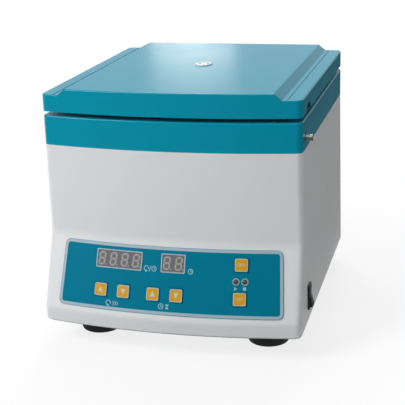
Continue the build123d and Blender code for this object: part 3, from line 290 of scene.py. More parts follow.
@dataclass(frozen=True)
class TurnedMetal(Finish):
    """Metal spun or turned about the rotor's axis: fine rings that stretch the light across them."""

    # Real tool marks are a few tenths of a millimetre apart, and are drawn as coarse as they need to show
    pitch: float = 0.6
    depth: float = 0.01
    axis_y: float = 15.2
    shade: str = "#9a9c9d"
    shade_share: float = 0.6
    gloss_fall: float = 0.06
    gloss_rise: float = 0.08

    def pattern(self, tree: Tree) -> None:
        """Add rings of tool marks that depend only on the radius and the height.

        Args:
            tree: Node tree with the finish's shader.
        """
        place = add_node(tree, "TexCoord")
        parts = add_node(tree, "SeparateXYZ", {0: place.outputs["Object"]})
        inputs = {0: parts.outputs["Y"], 1: self.axis_y * MM}
        across = add_node(tree, "Math", inputs, operation="SUBTRACT")
        flat = add_node(tree, "CombineXYZ", {"X": parts.outputs["X"], "Y": across.outputs[0]})
        radius = add_node(tree, "VectorMath", {0: flat.outputs[0]}, operation="LENGTH")
        across_rings = add_node(tree, "CombineXYZ", {"X": radius.outputs["Value"], "Y": parts.outputs["Z"]})
        inputs = {"Vector": across_rings.outputs[0], "Scale": 1 / (self.pitch * MM), "Detail": 2.0}
        rings = Pattern(add_node(tree, "TexNoise", inputs).outputs[0])
        gloss = (rings, self.gloss_fall, self.gloss_rise)
        self.vary(tree, (rings, self.shade, self.shade_share), gloss, (rings, self.depth))


@dataclass(frozen=True)
class PrintedFilm(Finish):
    """Polycarbonate film printed on its back: even ink under a velvety face with a very fine grain."""

    ior: float = 1.58
    ink_change: str = "#00586c"
    ink_size: float = 30.0
    ink_share: float = 0.3
    # The real velvet is finer than the render shows, so it is drawn this coarse
    velvet: float = 0.7
    velvet_depth: float = 0.008

    def pattern(self, tree: Tree) -> None:
        """Add the ink's slight unevenness and the film's velvet grain.

        Args:
            tree: Node tree with the finish's shader.
        """
        ink = (self.noise(tree, self.ink_size), self.ink_change, self.ink_share)
        self.vary(tree, ink, relief=(self.noise(tree, self.velvet), self.velvet_depth))


@dataclass(frozen=True)
class ClearPlastic(Finish):
    """Clear cast acrylic or a tinted lamp lens: light goes through, and small surface waves bend it."""

    clearness: float = 1.0
    wave: float = 6.0
    wave_depth: float = 0.01

    def pattern(self, tree: Tree) -> None:
        """Let light through and add the faint waves of the moulding.

        Args:
            tree: Node tree with the finish's shader.
        """
        tree.nodes[SHADER].inputs["Transmission Weight"].default_value = self.clearness
        self.vary(tree, relief=(self.noise(tree, self.wave, 1.0), self.wave_depth))


@dataclass(frozen=True)
class WoundCopper(Finish):
    """Enamelled copper wire laid in turns: reddish metal with one ridge for each turn and painted shade
    between turns.
    """

    wire: float = 1.1
    wobble: float = 0.4
    # Dark brown painted into the valleys between turns: painted shade
    painted_valley_shade: str = "#4a2412"
    ridge: float = 0.3

    def pattern(self, tree: Tree) -> None:
        """Add a ridge for each turn of the wire, with painted shade darkening the valleys between turns.

        Args:
            tree: Node tree with the finish's shader.
        """
        place = add_node(tree, "TexCoord")
        # At a scale of 1 the wave repeats every 0.314 units
        inputs = {"Vector": place.outputs["Object"], "Scale": 0.314 / (self.wire * MM)}
        inputs["Distortion"] = self.wobble
        wave = add_node(tree, "TexWave", inputs, bands_direction="Z", wave_profile="SIN")
        turns = wave.outputs["Fac"]
        # The valleys of the wave take the painted shade colour
        self.vary(tree, (Pattern(turns, 0.4, 0.0), self.painted_valley_shade, 1.0), relief=(Pattern(turns), self.ridge))


@dataclass(frozen=True)
class CircuitBoard(Finish):
    """Glass-fibre board under green solder mask: darker where copper tracks run beneath it."""

    track: str = "#0b3d24"
    # Real tracks lie closer together, and are drawn as coarse as they need to show
    track_pitch: float = 25 / 6
    track_width: float = 0.06
    track_depth: float = 0.05

    def pattern(self, tree: Tree) -> None:
        """Add square runs of copper under the mask and their slight relief.

        Args:
            tree: Node tree with the finish's shader.
        """
        place = add_node(tree, "TexCoord")
        # At a scale of 1 the rows are 0.25 units high
        inputs = {"Vector": place.outputs["Object"], "Scale": 0.25 / (self.track_pitch * MM)}
        inputs["Mortar Size"] = self.track_width
        tracks = Pattern(add_node(tree, "TexBrick", inputs).outputs["Fac"], 0.0, 1.0)
        self.vary(tree, (tracks, self.track, 1.0), relief=(tracks, self.track_depth))


class Finishes(Enum):
    """Every finish on the object, named for the real material and what it is on."""

    # Glossy ABS: light blue-green, and the flat top mirrors the pale room at a low angle
    TEAL_ABS = MouldedPlastic(
        "TealAbs", "#008ca5", 0.18, "teal_abs", specular=0.15, flow="#00869e", grain=1.6, grain_depth=0.003,
        gloss_change=0.015,
    )
    # Textured ABS: cool off-white with a dull sheen
    PALE_ABS = MouldedPlastic(
        "PaleAbs", "#d9dbdc", 0.46, "pale_abs", flow="#d2d5d6", grain=1.4, grain_depth=0.03
    )
    # Smooth white ABS of the lid's liner, the window's rim and the posts
    WHITE_ABS = MouldedPlastic(
        "WhiteAbs", "#e4e6e6", 0.38, "white_abs", flow="#dadddd", grain=1.5, grain_depth=0.015
    )
    # Black nylon of the switch, the inlet and the fuse holder: satin with a faint grey bloom
    BLACK_NYLON = MouldedPlastic("BlackNylon", "#17181a", 0.36, "black_nylon", flow="#24262a")
    # White pad-printed ink of the switch's signs, dull and a little worn
    SWITCH_INK = PrintedFilm("SwitchInk", "#c6c9c9", 0.5, "white_abs", ior=1.5, ink_change="#b4b7b7")
    # Teal ink under velvet film: a shade bluer and deeper than the mouldings beside it
    PANEL_FILM = PrintedFilm("PanelFilm", "#00748f", 0.36, "panel_film", specular=0.05, ink_change="#00708a")
    # Pale blue ink of the border and the display frames
    BORDER_INK = PrintedFilm("BorderInk", "#9bb4be", 0.42, "panel_film", ink_change="#92acb6")
    # Pale ink of the marks on the film
    MARK_INK = PrintedFilm("MarkInk", "#8dbac5", 0.45, "panel_film", ink_change="#83b0bb")
    # Film over the raised keys, in the panel's own teal
    KEY_FILM = PrintedFilm("KeyFilm", "#00748f", 0.36, "orange_keys", specular=0.05, ink_change="#00708a")
    # Pale ink of the line round each key
    KEY_RIM = PrintedFilm("KeyRim", "#a9b9b8", 0.4, "orange_keys", ink_change="#9fb0af")
    # Orange ink on the keys: warm yellow-orange, a little uneven
    KEY_ORANGE = PrintedFilm("KeyOrange", "#d0990c", 0.38, "orange_keys", specular=0.25, ink_change="#c68f08")
    # Pale ink of the arrows and letters on the keys
    KEY_INK = PrintedFilm("KeyInk", "#c4c1b0", 0.42, "orange_keys", ink_change="#bab7a6")
    # Grey epoxy face of the unlit displays
    DISPLAY_FACE = MouldedPlastic(
        "DisplayFace", "#646469", 0.34, "display_lens", ior=1.55, flow="#5f5f64", grain=1.0, grain_depth=0.01
    )
    # Milky epoxy light bars of the unlit segments
    DISPLAY_SEGMENT = MouldedPlastic(
        "DisplaySegment", "#989993", 0.36, "display_lens", ior=1.55, flow="#91928c", grain=0.8,
        grain_depth=0.01,
    )
    # Pale grey-blue moulding of the rings round the lamps
    RING_ABS = MouldedPlastic(
        "RingAbs", "#90aab0", 0.38, "white_abs", flow="#89a3a9", grain=1.0, grain_depth=0.01
    )
    # Smoky epoxy of the two unlit lamps
    LAMP_LENS = ClearPlastic("LampLens", "#5a5457", 0.12, "lamp_lens", ior=1.55, clearness=0.4)
    # Clear acrylic of the sight window, with a frosty edge
    CLEAR_ACRYLIC = ClearPlastic("ClearAcrylic", "#eef4f6", 0.06, "clear_window", ior=1.49, clearness=0.85)
    # Zinc-plated steel: cool grey with a soft crystal bloom
    ZINC_STEEL = PlatedSteel("ZincSteel", "#b4b8ba", 0.36, "zinc_steel", metallic=1.0)
    # Ground and polished steel of the pin and the shafts
    POLISHED_STEEL = TurnedMetal(
        "PolishedSteel", "#c9c6c0", 0.2, "stainless", metallic=1.0, pitch=0.5, depth=0.004, shade="#aba8a2"
    )
    # Spun stainless sheet of the chamber, with rings from the spinning tool
    SPUN_STAINLESS = TurnedMetal(
        "SpunStainless", "#bfc1c2", 0.3, "stainless", metallic=1.0, pitch=1.6, depth=0.02, shade="#a4a6a8"
    )
    # Turned aluminium of the rotor, brighter than the steel round it
    TURNED_ALUMINIUM = TurnedMetal(
        "TurnedAluminium", "#d6d8da", 0.28, "cast_aluminium", metallic=1.0, pitch=1.0, depth=0.015,
        shade="#bdbfc2",
    )
    # Etched digits in the aluminium: dull and dark, as oxide fills them
    ETCHED_DARK = PlatedSteel(
        "EtchedDark", "#3c3e40", 0.6, "cast_aluminium", metallic=0.6, bloom="#2f3133", crystal=1.5
    )
    # Black stove enamel of the motor and the capacitor
    BLACK_ENAMEL = MouldedPlastic(
        "BlackEnamel", "#1d1e20", 0.28, "painted_steel", ior=1.52, flow="#26282b", grain=2.4, grain_depth=0.03
    )
    # Moulded rubber of the feet, the mounts, the boot and the seal
    BLACK_RUBBER = MouldedRubber(
        "BlackRubber", "#0b0b0c", 0.72, "rubber", ior=1.52, specular=0.3, bloom="#18191b"
    )
    # Fired ferrite of the magnets and the stacked iron of the transformer
    FERRITE = PlatedSteel("Ferrite", "#37383a", 0.6, "ferrite", metallic=0.3, bloom="#2b2c2e", crystal=3.0)
    # Pressed carbon of the motor's brushes
    CARBON = MouldedRubber("Carbon", "#1a1a1b", 0.55, "carbon", ior=1.6, bloom="#262627")
    # Enamelled copper of the windings, with painted shade between the turns
    WOUND_COPPER = WoundCopper("WoundCopper", "#b06a3c", 0.34, "copper", metallic=0.9)
    # Green solder mask of the boards
    SOLDER_MASK = CircuitBoard("SolderMask", "#17623c", 0.35, "circuit_board", ior=1.55)


# Mesh building


@dataclass
class Plate:
    """A flat place in millimetres: an origin, two directions in it and the way out of it."""

    origin: Vector
    right: Vector
    up: Vector

    @property
    def out(self) -> Vector:
        """Direction out of the plate."""
        return self.right.cross(self.up).normalized()

    def at(self, across: float, along: float, proud: float = 0.0) -> Vector:
        """Turn a point on the plate, some millimetres proud of it, into a point in metres."""
        return (self.origin + self.right * across + self.up * along + self.out * proud) * MM


@dataclass
class Draft:
    """Points and faces of one piece, collected before they become a mesh.

    The place turns a flat point and a height, in millimetres, into a point in the frame.
    """

    place: Place
    points: list[Vector] = field(default_factory=list)
    faces: list[tuple[int, ...]] = field(default_factory=list)

    def rows(self, rows: Sequence[Sequence[Vector]]) -> None:
        """Span neighbouring closed rows of points with faces.

        Args:
            rows: Rows of equally many points.
        """
        base = len(self.points)
        count = len(rows[0])
        for row in rows:
            self.points.extend(row)
        for i in range(len(rows) - 1):
            for k in range(count):
                a = base + i * count + k
                b = base + i * count + (k + 1) % count
                self.faces.append((a, b, b + count, a + count))

    def fill(self, loops: list[Outline], proud: float, flip: bool = False) -> None:
        """Fill a flat outline, with its holes, with triangles.

        Args:
            loops: The outline first, then its holes.
            proud: Height at which the fill lies.
            flip: Whether the fill faces the other way.
        """
        base = len(self.points)
        rims = [[Vector((x, y, 0.0)) for x, y in loop] for loop in loops]
        flat = [point for rim in rims for point in rim]
        self.points.extend(self.place(p.x, p.y, proud) for p in flat)
        for tri in tessellate_polygon(rims):
            a, b, c = (flat[i] for i in tri)
            upward = (b - a).cross(c - a).z > 0
            order = tri if upward != flip else tuple(reversed(tri))
            self.faces.append(tuple(base + i for i in order))

    def walls(self, loop: Outline, low: float, high: float, inward: bool = False) -> None:
        """Raise a wall along a closed outline.

        Args:
            loop: The outline, counter-clockwise.
            low: Height of the wall's foot.
            high: Height of its top.
            inward: Whether the wall faces into the outline, as in a hole.
        """
        heights = (high, low) if inward else (low, high)
        self.rows([[self.place(x, y, h) for x, y in loop] for h in heights])

    def slab(self, loops: list[Outline], low: float, high: float) -> None:
        """Build a flat plate with holes.

        Args:
            loops: The outline first, then its holes, all counter-clockwise.
            low: Height of its underside.
            high: Height of its face.
        """
        self.fill(loops, high)
        self.fill(loops, low, flip=True)
        for number, loop in enumerate(loops):
            self.walls(loop, low, high, inward=number > 0)

    def letters(self, word: str, size: float, proud: float, half: float) -> None:
        """Add raised letters about the middle of a flat place.

        Args:
            word: The letters or digits.
            size: Their size.
            proud: Height of the middle of their thickness.
            half: Half their thickness.
        """
        curve = bpy.data.curves.new("Lettering", "FONT")
        curve.body = word
        curve.size = size
        curve.extrude = half
        curve.offset = BOLD
        curve.resolution_u = 3
        curve.align_x = "CENTER"
        curve.align_y = "CENTER"
        text = bpy.data.objects.new("Lettering", curve)
        bpy.context.scene.collection.objects.link(text)
        bpy.context.view_layer.update()
        flat = bpy.data.meshes.new_from_object(text.evaluated_get(bpy.context.evaluated_depsgraph_get()))
        bpy.data.objects.remove(text)
        base = len(self.points)
        self.points.extend(self.place(v.co.x, v.co.y, proud + v.co.z) for v in flat.vertices)
        self.faces.extend(tuple(base + i for i in face.vertices) for face in flat.polygons)

    def piece(self, name: str, body: str, finish: Finishes) -> bpy.types.Object:
        """Make the object, give it its finish and let it ride on its body.

        Args:
            name: Name of the piece.
            body: Name of the moving body that carries it.
            finish: Its finish.

        Returns:
            The new object.
        """
        mesh = bpy.data.meshes.new(name)
        mesh.from_pydata([tuple(p) for p in self.points], [], self.faces)
        mesh.validate()
        mesh.polygons.foreach_set("use_smooth", [True] * len(mesh.polygons))
        mesh.set_sharp_from_angle(angle=CREASE)
        made = bpy.data.objects.new(name, mesh)
        bpy.context.scene.collection.objects.link(made)
        made.data.materials.append(finish.value.material())
        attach(made, body)
        LOG.info("piece %s: %d faces on %s, %s", name, len(mesh.polygons), body, finish.value.name)
        return made


def rounded(width: float, height: float, corner: float, steps: int = 6, reach: float = 1e9) -> Outline:
    """Outline of a rounded rectangle about the origin, counter-clockwise.

    Args:
        width: Full width.
        height: Full height.
        corner: Corner radius.
        steps: Parts of each corner.
        reach: Longest straight stretch between two points.

    Returns:
        The outline's points.
    """
    across = width / 2 - corner
    along = height / 2 - corner
    corners = []
    for quarter, (side, end) in enumerate(((1, 1), (-1, 1), (-1, -1), (1, -1))):
        for i in range(steps + 1):
            turn = math.pi / 2 * (quarter + i / steps)
            corners.append((side * across + corner * math.cos(turn), end * along + corner * math.sin(turn)))
    outline = []
    for start, end in zip(corners, corners[1:] + corners[:1]):
        parts = max(1, math.ceil(math.dist(start, end) / reach))
        for i in range(parts):
            share = i / parts
            outline.append((start[0] + (end[0] - start[0]) * share, start[1] + (end[1] - start[1]) * share))
    return outline


def arc(radius: float, start: float, end: float, steps: int = 16, centre: Point = (0.0, 0.0)) -> Outline:
    """Points of an arc between two angles in degrees."""
    turns = [math.radians(start + (end - start) * i / steps) for i in range(steps + 1)]
    return [(centre[0] + radius * math.cos(t), centre[1] + radius * math.sin(t)) for t in turns]


def circle(radius: float, steps: int = 32, centre: Point = (0.0, 0.0)) -> Outline:
    """Points of a circle, counter-clockwise."""
    return arc(radius, 0, 360, steps, centre)[:-1]


def stroke(points: Sequence[Point], width: float) -> Outline:
    """Outline of a drawn line of even width, counter-clockwise.

    Args:
        points: The line's points.
        width: Its width.

    Returns:
        The outline's points.
    """
    right, left = [], []
    for i, (x, y) in enumerate(points):
        before = Vector(points[max(i - 1, 0)])
        after = Vector(points[min(i + 1, len(points) - 1)])
        way = (after - before).normalized()
        right.append((x + way.y * width / 2, y - way.x * width / 2))
        left.append((x - way.y * width / 2, y + way.x * width / 2))
    return right + left[::-1]


def moved(shape: list[Outline], across: float, along: float, scale: float = 1.0) -> list[Outline]:
    """Scale the outlines of a shape and move them in their own plane."""
    return [[(across + x * scale, along + y * scale) for x, y in loop] for loop in shape]


# Sub-assemblies


@dataclass
class Body:
    """The plan of the body that its pieces share, in millimetres."""

    width: float = 270.0
    corner_y: float = -130.3
    rear_y: float = 160.7
    front_bow: float = 13.5
    crease_setback: float = 2.7
    crease_z: float = 118.0
    panel_reach: float = 28.3
    panel_rise: float = 76.0
    chamber_y: float = 15.2

    @property
    def bow_radius(self) -> float:
        """Radius of the front's bow at the collar."""
        return ((self.width / 2) ** 2 + self.front_bow**2) / (2 * self.front_bow)

    @property
    def slope(self) -> float:
        """Lean of the panel from upright, in radians."""
        return math.atan2(self.panel_reach, self.panel_rise)

    def panel_radius(self, z: float) -> float:
        """Radius of the sloping panel's bow at one height."""
        return self.bow_radius - self.crease_setback + (self.crease_z - z) * math.tan(self.slope)

    def panel(self, x: float, z: float) -> Plate:
        """Flat place that touches the outside of the sloping panel.

        Args:
            x: Place across the front.
            z: Height above the bench.

        Returns:
            The place, with its second direction up the slope.
        """
        radius = self.panel_radius(z)
        turn = math.asin(x / radius)
        level = math.cos(self.slope)
        out = Vector((math.sin(turn) * level, -math.cos(turn) * level, math.sin(self.slope)))
        right = Vector((math.cos(turn), math.sin(turn), 0.0))
        axis_y = self.corner_y - self.front_bow + self.bow_radius
        return Plate(Vector((x, axis_y - radius * math.cos(turn), z)), right, out.cross(right))

    def rear(self, x: float, z: float, proud: float) -> Plate:
        """Flat place behind the back wall, seen from behind."""
        return Plate(Vector((x, self.rear_y + proud, z)), Vector((-1.0, 0.0, 0.0)), Vector((0.0, 0.0, 1.0)))


@dataclass
class Screw:
    """A pan-head screw with a cross recess."""

    head: float = 3.0
    height: float = 1.6
    recess: float = 0.55
    recess_reach: float = 1.5
    recess_floor: float = 0.35
    # Shares of the head's radius and height, from its foot to the rim of its flat top
    profile: tuple[Point, ...] = ((1.0, 0.0), (1.0, 0.4), (0.9, 0.8), (0.72, 1.0))
    steps: int = 24

    def build(
        self, name: str, body: str, plates: Sequence[Plate], finish: Finishes = Finishes.ZINC_STEEL
    ) -> None:
        """Build one piece that holds all the screws of a group.

        Args:
            name: Name of the piece.
            body: Body that carries it.
            plates: Where the heads stand.
            finish: Their finish.
        """
        half, reach = self.recess / 2, self.recess_reach
        cross = [(reach, -half), (reach, half), (half, half), (half, reach), (-half, reach), (-half, half)]
        cross += [(-x, -y) for x, y in cross]
        rims = [circle(share * self.head, self.steps) for share, _ in self.profile]
        heights = [share * self.height for _, share in self.profile]
        floor = self.recess_floor * self.height
        draft = Draft(plates[0].at)
        for plate in plates:
            draft.place = plate.at
            draft.rows([[plate.at(x, y, height) for x, y in rim] for rim, height in zip(rims, heights)])
            draft.fill([rims[-1], cross], self.height)
            draft.walls(cross, floor, self.height, inward=True)
            draft.fill([cross], floor)
        draft.piece(name, body, finish)


@dataclass
class SubAssembly:
    """What every sub-assembly has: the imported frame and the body's plan."""

    frame: dict[str, Any]
    body: Body

    def dress(self, finish: Finishes, *nodes: str) -> None:
        """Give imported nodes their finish; their meshes keep the exact normals that they came with.

        Args:
            finish: The finish.
            nodes: Names of the nodes.
        """
        for node in nodes:
            shown = self.frame["nodes"][node]
            shown.data.materials.clear()
            shown.data.materials.append(finish.value.material())
            LOG.info("node %s: %s", node, finish.value.name)


@dataclass
class Housing(SubAssembly):
    """The moulded body with its collar, base plate, rods and feet."""

    def build(self) -> None:
        """Dress the body's nodes."""
        self.dress(Finishes.PALE_ABS, "housing_shell")
        self.dress(Finishes.TEAL_ABS, "top_collar")
        self.dress(Finishes.ZINC_STEEL, "base_plate", "tie_rods", "foot_screws")
        self.dress(Finishes.BLACK_RUBBER, "rubber_feet")


@dataclass
class Lid(SubAssembly):
    """The hinged lid with its liner, window, hook and magnet."""

    liner_z: float = 248.5
    screw_spacing_x: float = 190.0
    screw_spacing_y: float = 105.0
    notch_length: float = 26.0
    notch_height: float = 7.5
    notch_from_corner: float = 26.0
    shade_plate_fit: float = 0.1
    shade_plate_rim: float = 1.1
    # Back, floor and lip of the black plate that paints shade in the notch, out from the lid's side
    shade_plate_faces: tuple[float, float, float] = (-2.4, -1.7, -1.0)

    def build(self) -> None:
        """Dress the lid's nodes and add its liner's screws and the black plate that paints shade in the
        notch.
        """
        self.dress(Finishes.TEAL_ABS, "lid_shell")
        self.dress(Finishes.WHITE_ABS, "lid_liner", "window_bezel")
        self.dress(Finishes.CLEAR_ACRYLIC, "sight_window")
        self.dress(Finishes.ZINC_STEEL, "lid_hook", "hinge_lid_leaves")
        self.dress(Finishes.FERRITE, "lid_magnet")
        places = []
        for side in (-0.5, 0.5):
            for row in (-1, 0, 1):
                y = self.body.chamber_y + row * self.screw_spacing_y
                origin = Vector((side * self.screw_spacing_x, y, self.liner_z))
                places.append(Plate(origin, Vector((1.0, 0.0, 0.0)), Vector((0.0, -1.0, 0.0))))
        Screw().build("LinerScrews", "lid", places)
        self.notch_shade_plate()

    def notch_outline(self, inset: float) -> Outline:
        """Outline of the notch in the lid's right side.

        Args:
            inset: How far it is set in from the notch's edge.

        Returns:
            The outline's points.
        """
        radius = self.notch_height - inset
        half = self.notch_length / 2 - self.notch_height
        loop = arc(radius, 0, 90, 8, (half, inset)) + arc(radius, 90, 180, 8, (-half, inset))
        return [(across, min(along, radius)) for across, along in loop]

    def notch_shade_plate(self) -> None:
        """Close the notch from behind with a recessed black plate, which paints the shade that falls inside
        the hollow notch.
        """
        middle = self.body.corner_y + self.notch_from_corner + self.notch_length / 2
        origin = Vector((self.body.width / 2, middle, self.liner_z))
        plate = Plate(origin, Vector((0.0, 1.0, 0.0)), Vector((0.0, 0.0, 1.0)))
        back, floor, lip = self.shade_plate_faces
        outside = self.notch_outline(self.shade_plate_fit)
        inside = self.notch_outline(self.shade_plate_fit + self.shade_plate_rim)
        draft = Draft(plate.at)
        draft.slab([outside, inside], back, lip)
        draft.slab([inside], back, floor)
        # Black nylon here is painted shade inside the notch, not a real part
        draft.piece("NotchInsert", "lid", Finishes.BLACK_NYLON)


@dataclass
class ControlPanel(SubAssembly):
    """The wrapped overlay with its displays, keys, lamps and printed marks."""

    width: float = 236.0
    low: float = 47.7
    high: float = 112.8
    corner: float = 6.0
    thickness: float = 0.8
    ink: float = 0.06
    border_margin: float = 0.3
    border_width: float = 2.8
    border_reach: float = 4.0
    display_z: float = 97.4
    display_height: float = 19.0
    display_sink: float = 0.5
    frame_outside: float = 0.25
    frame_inside: float = 0.9
    # The displays' frames: corner radii outside and inside, and their foot and face over the film
    frame_corners: Point = (1.2, 0.7)
    frame_faces: Point = (-0.3, 0.25)
    digit_pitch: float = 12.57
    digit_shift: float = -0.6
    digit_height: float = 14.2
    digit_width: float = 7.9
    digit_slant: float = 0.09
    segment: float = 2.0
    segment_gap: float = 0.12
    dot_radius: float = 0.85
    dot_offset: float = 2.1
    key_rim_size: float = 13.1
    key_rim_corner: float = 1.6
    key_print_size: float = 11.5
    key_print_corner: float = 1.0
    key_proud: float = 1.0
    key_row_z: float = 66.9
    word_size: float = 4.2
    mark_line: float = 0.55
    mark_ring: float = 1.9

    def wrapped(self, across: float, along: float, proud: float) -> Vector:
        """Point on the overlay's face; the second value is a height above the bench."""
        return self.body.panel(across, along).at(0.0, 0.0, self.thickness + proud)

    def build(self) -> None:
        """Dress the panel's nodes and add all that is printed on them."""
        self.dress(Finishes.PANEL_FILM, "control_overlay")
        self.dress(Finishes.SOLDER_MASK, "control_board")
        self.dress(Finishes.WHITE_ABS, "board_standoffs")
        self.dress(Finishes.BLACK_NYLON, "key_switches")
        self.dress(Finishes.RING_ABS, "led_bezels")
        self.dress(Finishes.LAMP_LENS, "run_led", "stop_led")
        self.border()
        self.display("speed_display", -53.5, 4)
        self.display("time_display", 4.9, 2)
        self.arrow_key("key_speed_up", -72.0, 1)
        self.arrow_key("key_speed_down", -47.0, -1)
        self.arrow_key("key_time_up", -14.9, 1)
        self.arrow_key("key_time_down", 9.9, -1)
        self.word_key("key_on", 75.2, 98.6, "ON")
        self.word_key("key_off", 75.2, 66.2, "OFF")
        self.marks()

    def border(self) -> None:
        """Print the pale band that runs round the overlay, wider where the wrapped film reaches further."""
        middle = (self.low + self.high) / 2
        margin = self.border_margin
        outer = rounded(
            self.width - 2 * margin,
            self.high - self.low - 2 * margin,
            self.corner - margin,
            reach=self.border_reach,
        )
        rows = []
        for loop in (outer, [self.inset(x, z) for x, z in outer]):
            row = []
            for x, z in loop:
                widening = self.body.panel_radius(middle + z) / self.body.panel_radius(middle)
                row.append(self.wrapped(x * widening, middle + z, self.ink))
            rows.append(row)
        draft = Draft(self.wrapped)
        draft.rows(rows)
        draft.piece("PanelBorder", "base", Finishes.BORDER_INK)

    def inset(self, x: float, z: float) -> Point:
        """Move a point of the border's outside inwards, so that the band's corners stay round.

        Args:
            x: The point's place across the front.
            z: Its height from the panel's middle.

        Returns:
            The point of the border's inside.
        """
        across = self.width / 2 - self.corner
        along = (self.high - self.low) / 2 - self.corner
        core = (max(-across, min(across, x)), max(-along, min(along, z)))
        way = Vector((x - core[0], z - core[1]))
        kept = way - way.normalized() * self.border_width
        return core[0] + kept.x, core[1] + kept.y

    def display(self, node: str, x: float, digits: int) -> None:
        """Dress one display, print its frame and lay its light bars in its face.

        Args:
            node: The display's node.
            x: Its place across the front.
            digits: How many digits it shows.
        """
        self.dress(Finishes.DISPLAY_FACE, node)
        plate = self.body.panel(x, self.display_z)
        width, height = self.digit_pitch * digits, self.display_height
        more, less = 2 * self.frame_outside, 2 * self.frame_inside
        outside = rounded(width + more, height + more, self.frame_corners[0])
        inside = rounded(width - less, height - less, self.frame_corners[1])
        foot, face = (self.thickness + proud for proud in self.frame_faces)
        draft = Draft(plate.at)
        draft.slab([outside, inside], foot, face)
        draft.piece(node + "_frame", "base", Finishes.BORDER_INK)
        face = self.thickness - self.display_sink
        bars = Draft(plate.at)
        for digit in range(digits):
            centre = (digit - (digits - 1) / 2) * self.digit_pitch + self.digit_shift
            for loop in self.segments():
                slanted = [(centre + px + self.digit_slant * py, py) for px, py in loop]
                bars.slab([slanted], face - SINK, face + self.ink)
        bars.piece(node + "_bars", "base", Finishes.DISPLAY_SEGMENT)

    def segments(self) -> list[Outline]:
        """Outlines of one digit's light bars and its dot.

        Returns:
            Seven bars and a dot, about the digit's middle.
        """
        half_w = (self.digit_width - self.segment) / 2
        half_h = (self.digit_height - self.segment) / 2
        loops = []
        for height in (-half_h, 0.0, half_h):
            loops.append([(x, height + y) for x, y in self.light_bar(-half_w, half_w)])
        for side in (-half_w, half_w):
            for start, end in ((-half_h, 0.0), (0.0, half_h)):
                loops.append([(side - y, x) for x, y in self.light_bar(start, end)])
        loops.append(circle(self.dot_radius, 12, (half_w + self.dot_offset, -half_h)))
        return loops

    def light_bar(self, start: float, end: float) -> Outline:
        """Outline of a level light bar between two joints of a digit, pointed at both ends.

        Args:
            start: Where the first joint is.
            end: Where the second is.

        Returns:
            Its six points.
        """
        thick = self.segment / 2
        left, right = start + self.segment_gap, end - self.segment_gap
        below = [(left, 0.0), (left + thick, -thick), (right - thick, -thick)]
        return below + [(right, 0.0), (right - thick, thick), (left + thick, thick)]

    def key_face(self, name: str, x: float, z: float) -> tuple[Plate, float]:
        """Dress one key and lay its orange print.

        Args:
            name: The key's node and body.
            x: Its place across the front.
            z: Its height.

        Returns:
            The key's place at the panel's outside, and how far its face stands proud of that.
        """
        self.dress(Finishes.KEY_FILM, name)
        plate = self.body.panel(x, z)
        face = self.thickness + self.key_proud
        outside = rounded(self.key_rim_size, self.key_rim_size, self.key_rim_corner)
        inside = rounded(self.key_print_size, self.key_print_size, self.key_print_corner)
        for part, loops, finish in (
            ("_rim", [outside, inside], Finishes.KEY_RIM),
            ("_print", [inside], Finishes.KEY_ORANGE),
        ):
            draft = Draft(plate.at)
            draft.slab(loops, face - SINK, face + self.ink)
            draft.piece(name + part, name, finish)
        return plate, face

    def arrow_key(self, name: str, x: float, way: int) -> None:
        """Dress a key and print its arrow.

        Args:
            name: The key's node and body.
            x: Its place across the front.
            way: 1 for an arrow that points up and -1 for one that points down.
        """
        plate, face = self.key_face(name, x, self.key_row_z)
        arrow = [(-2.7, -2.6), (2.7, -2.6), (0.3, 2.9), (-0.3, 2.9)]
        draft = Draft(plate.at)
        draft.slab(moved([arrow], 0.0, 0.0, way), face, face + 2 * self.ink)
        draft.piece(name + "_arrow", name, Finishes.KEY_INK)

    def word_key(self, name: str, x: float, z: float, word: str) -> None:
        """Dress a key and print its word.

        Args:
            name: The key's node and body.
            x: Its place across the front.
            z: Its height.
            word: What it says.
        """
        plate, face = self.key_face(name, x, z)
        draft = Draft(plate.at)
        draft.letters(word, self.word_size, face + self.ink, self.ink)
        draft.piece(name + "_word", name, Finishes.KEY_INK)

    def marks(self) -> None:
        """Print the plain signs beside the displays, keys and lamps."""
        line, ring = self.mark_line, self.mark_ring
        turn = [[stroke(arc(ring, -20, 270, 24), line)], [[(-0.6, -0.8), (-0.6, -3.0), (1.2, -1.9)]]]
        clock = [
            [circle(ring + line / 2), circle(ring - line / 2)],
            [stroke([(0.0, -line / 2), (0.0, 1.3)], line)],
            [stroke([(line / 2, 0.0), (1.1, -0.5)], line)],
        ]
        chevrons = [[stroke([(x, 1.5), (x + 1.2, 0.0), (x, -1.5)], line)] for x in (3.6, 5.3, 7.0)]
        glass = [
            [[(3.6, 1.7), (3.6, 1.2), (5.0, 0.0), (6.4, 1.2), (6.4, 1.7)]],
            [[(3.6, -1.7), (6.4, -1.7), (6.4, -1.2), (5.0, 0.0), (3.6, -1.2)]],
        ]
        per = [[stroke([(2.4, -2.2), (4.0, 2.2)], line)]]
        second_clock = [moved(shape, 6.6, 0.0) for shape in clock]
        run = [[[(-1.5, -1.8), (1.7, 0.0), (-1.5, 1.8)]]]
        stop = [[rounded(3.1, 3.1, 0.3, 2)]]
        # Each sign with its place across the front, its height and its scale
        signs = (
            (turn + chevrons, -63.0, 54.6, 1.3),
            (clock + glass, -5.5, 55.8, 1.3),
            (turn + per + second_clock, -23.3, 91.2, 1.25),
            (clock, 23.6, 90.6, 1.25),
            (run, 70.7, 76.2, 1.0),
            (stop, 79.7, 76.2, 1.0),
        )
        draft = Draft(self.wrapped)
        for shapes, x, z, scale in signs:
            for shape in shapes:
                draft.slab(moved(shape, x, z, scale), -SINK, self.ink)
        draft.piece("PanelMarks", "base", Finishes.MARK_INK)


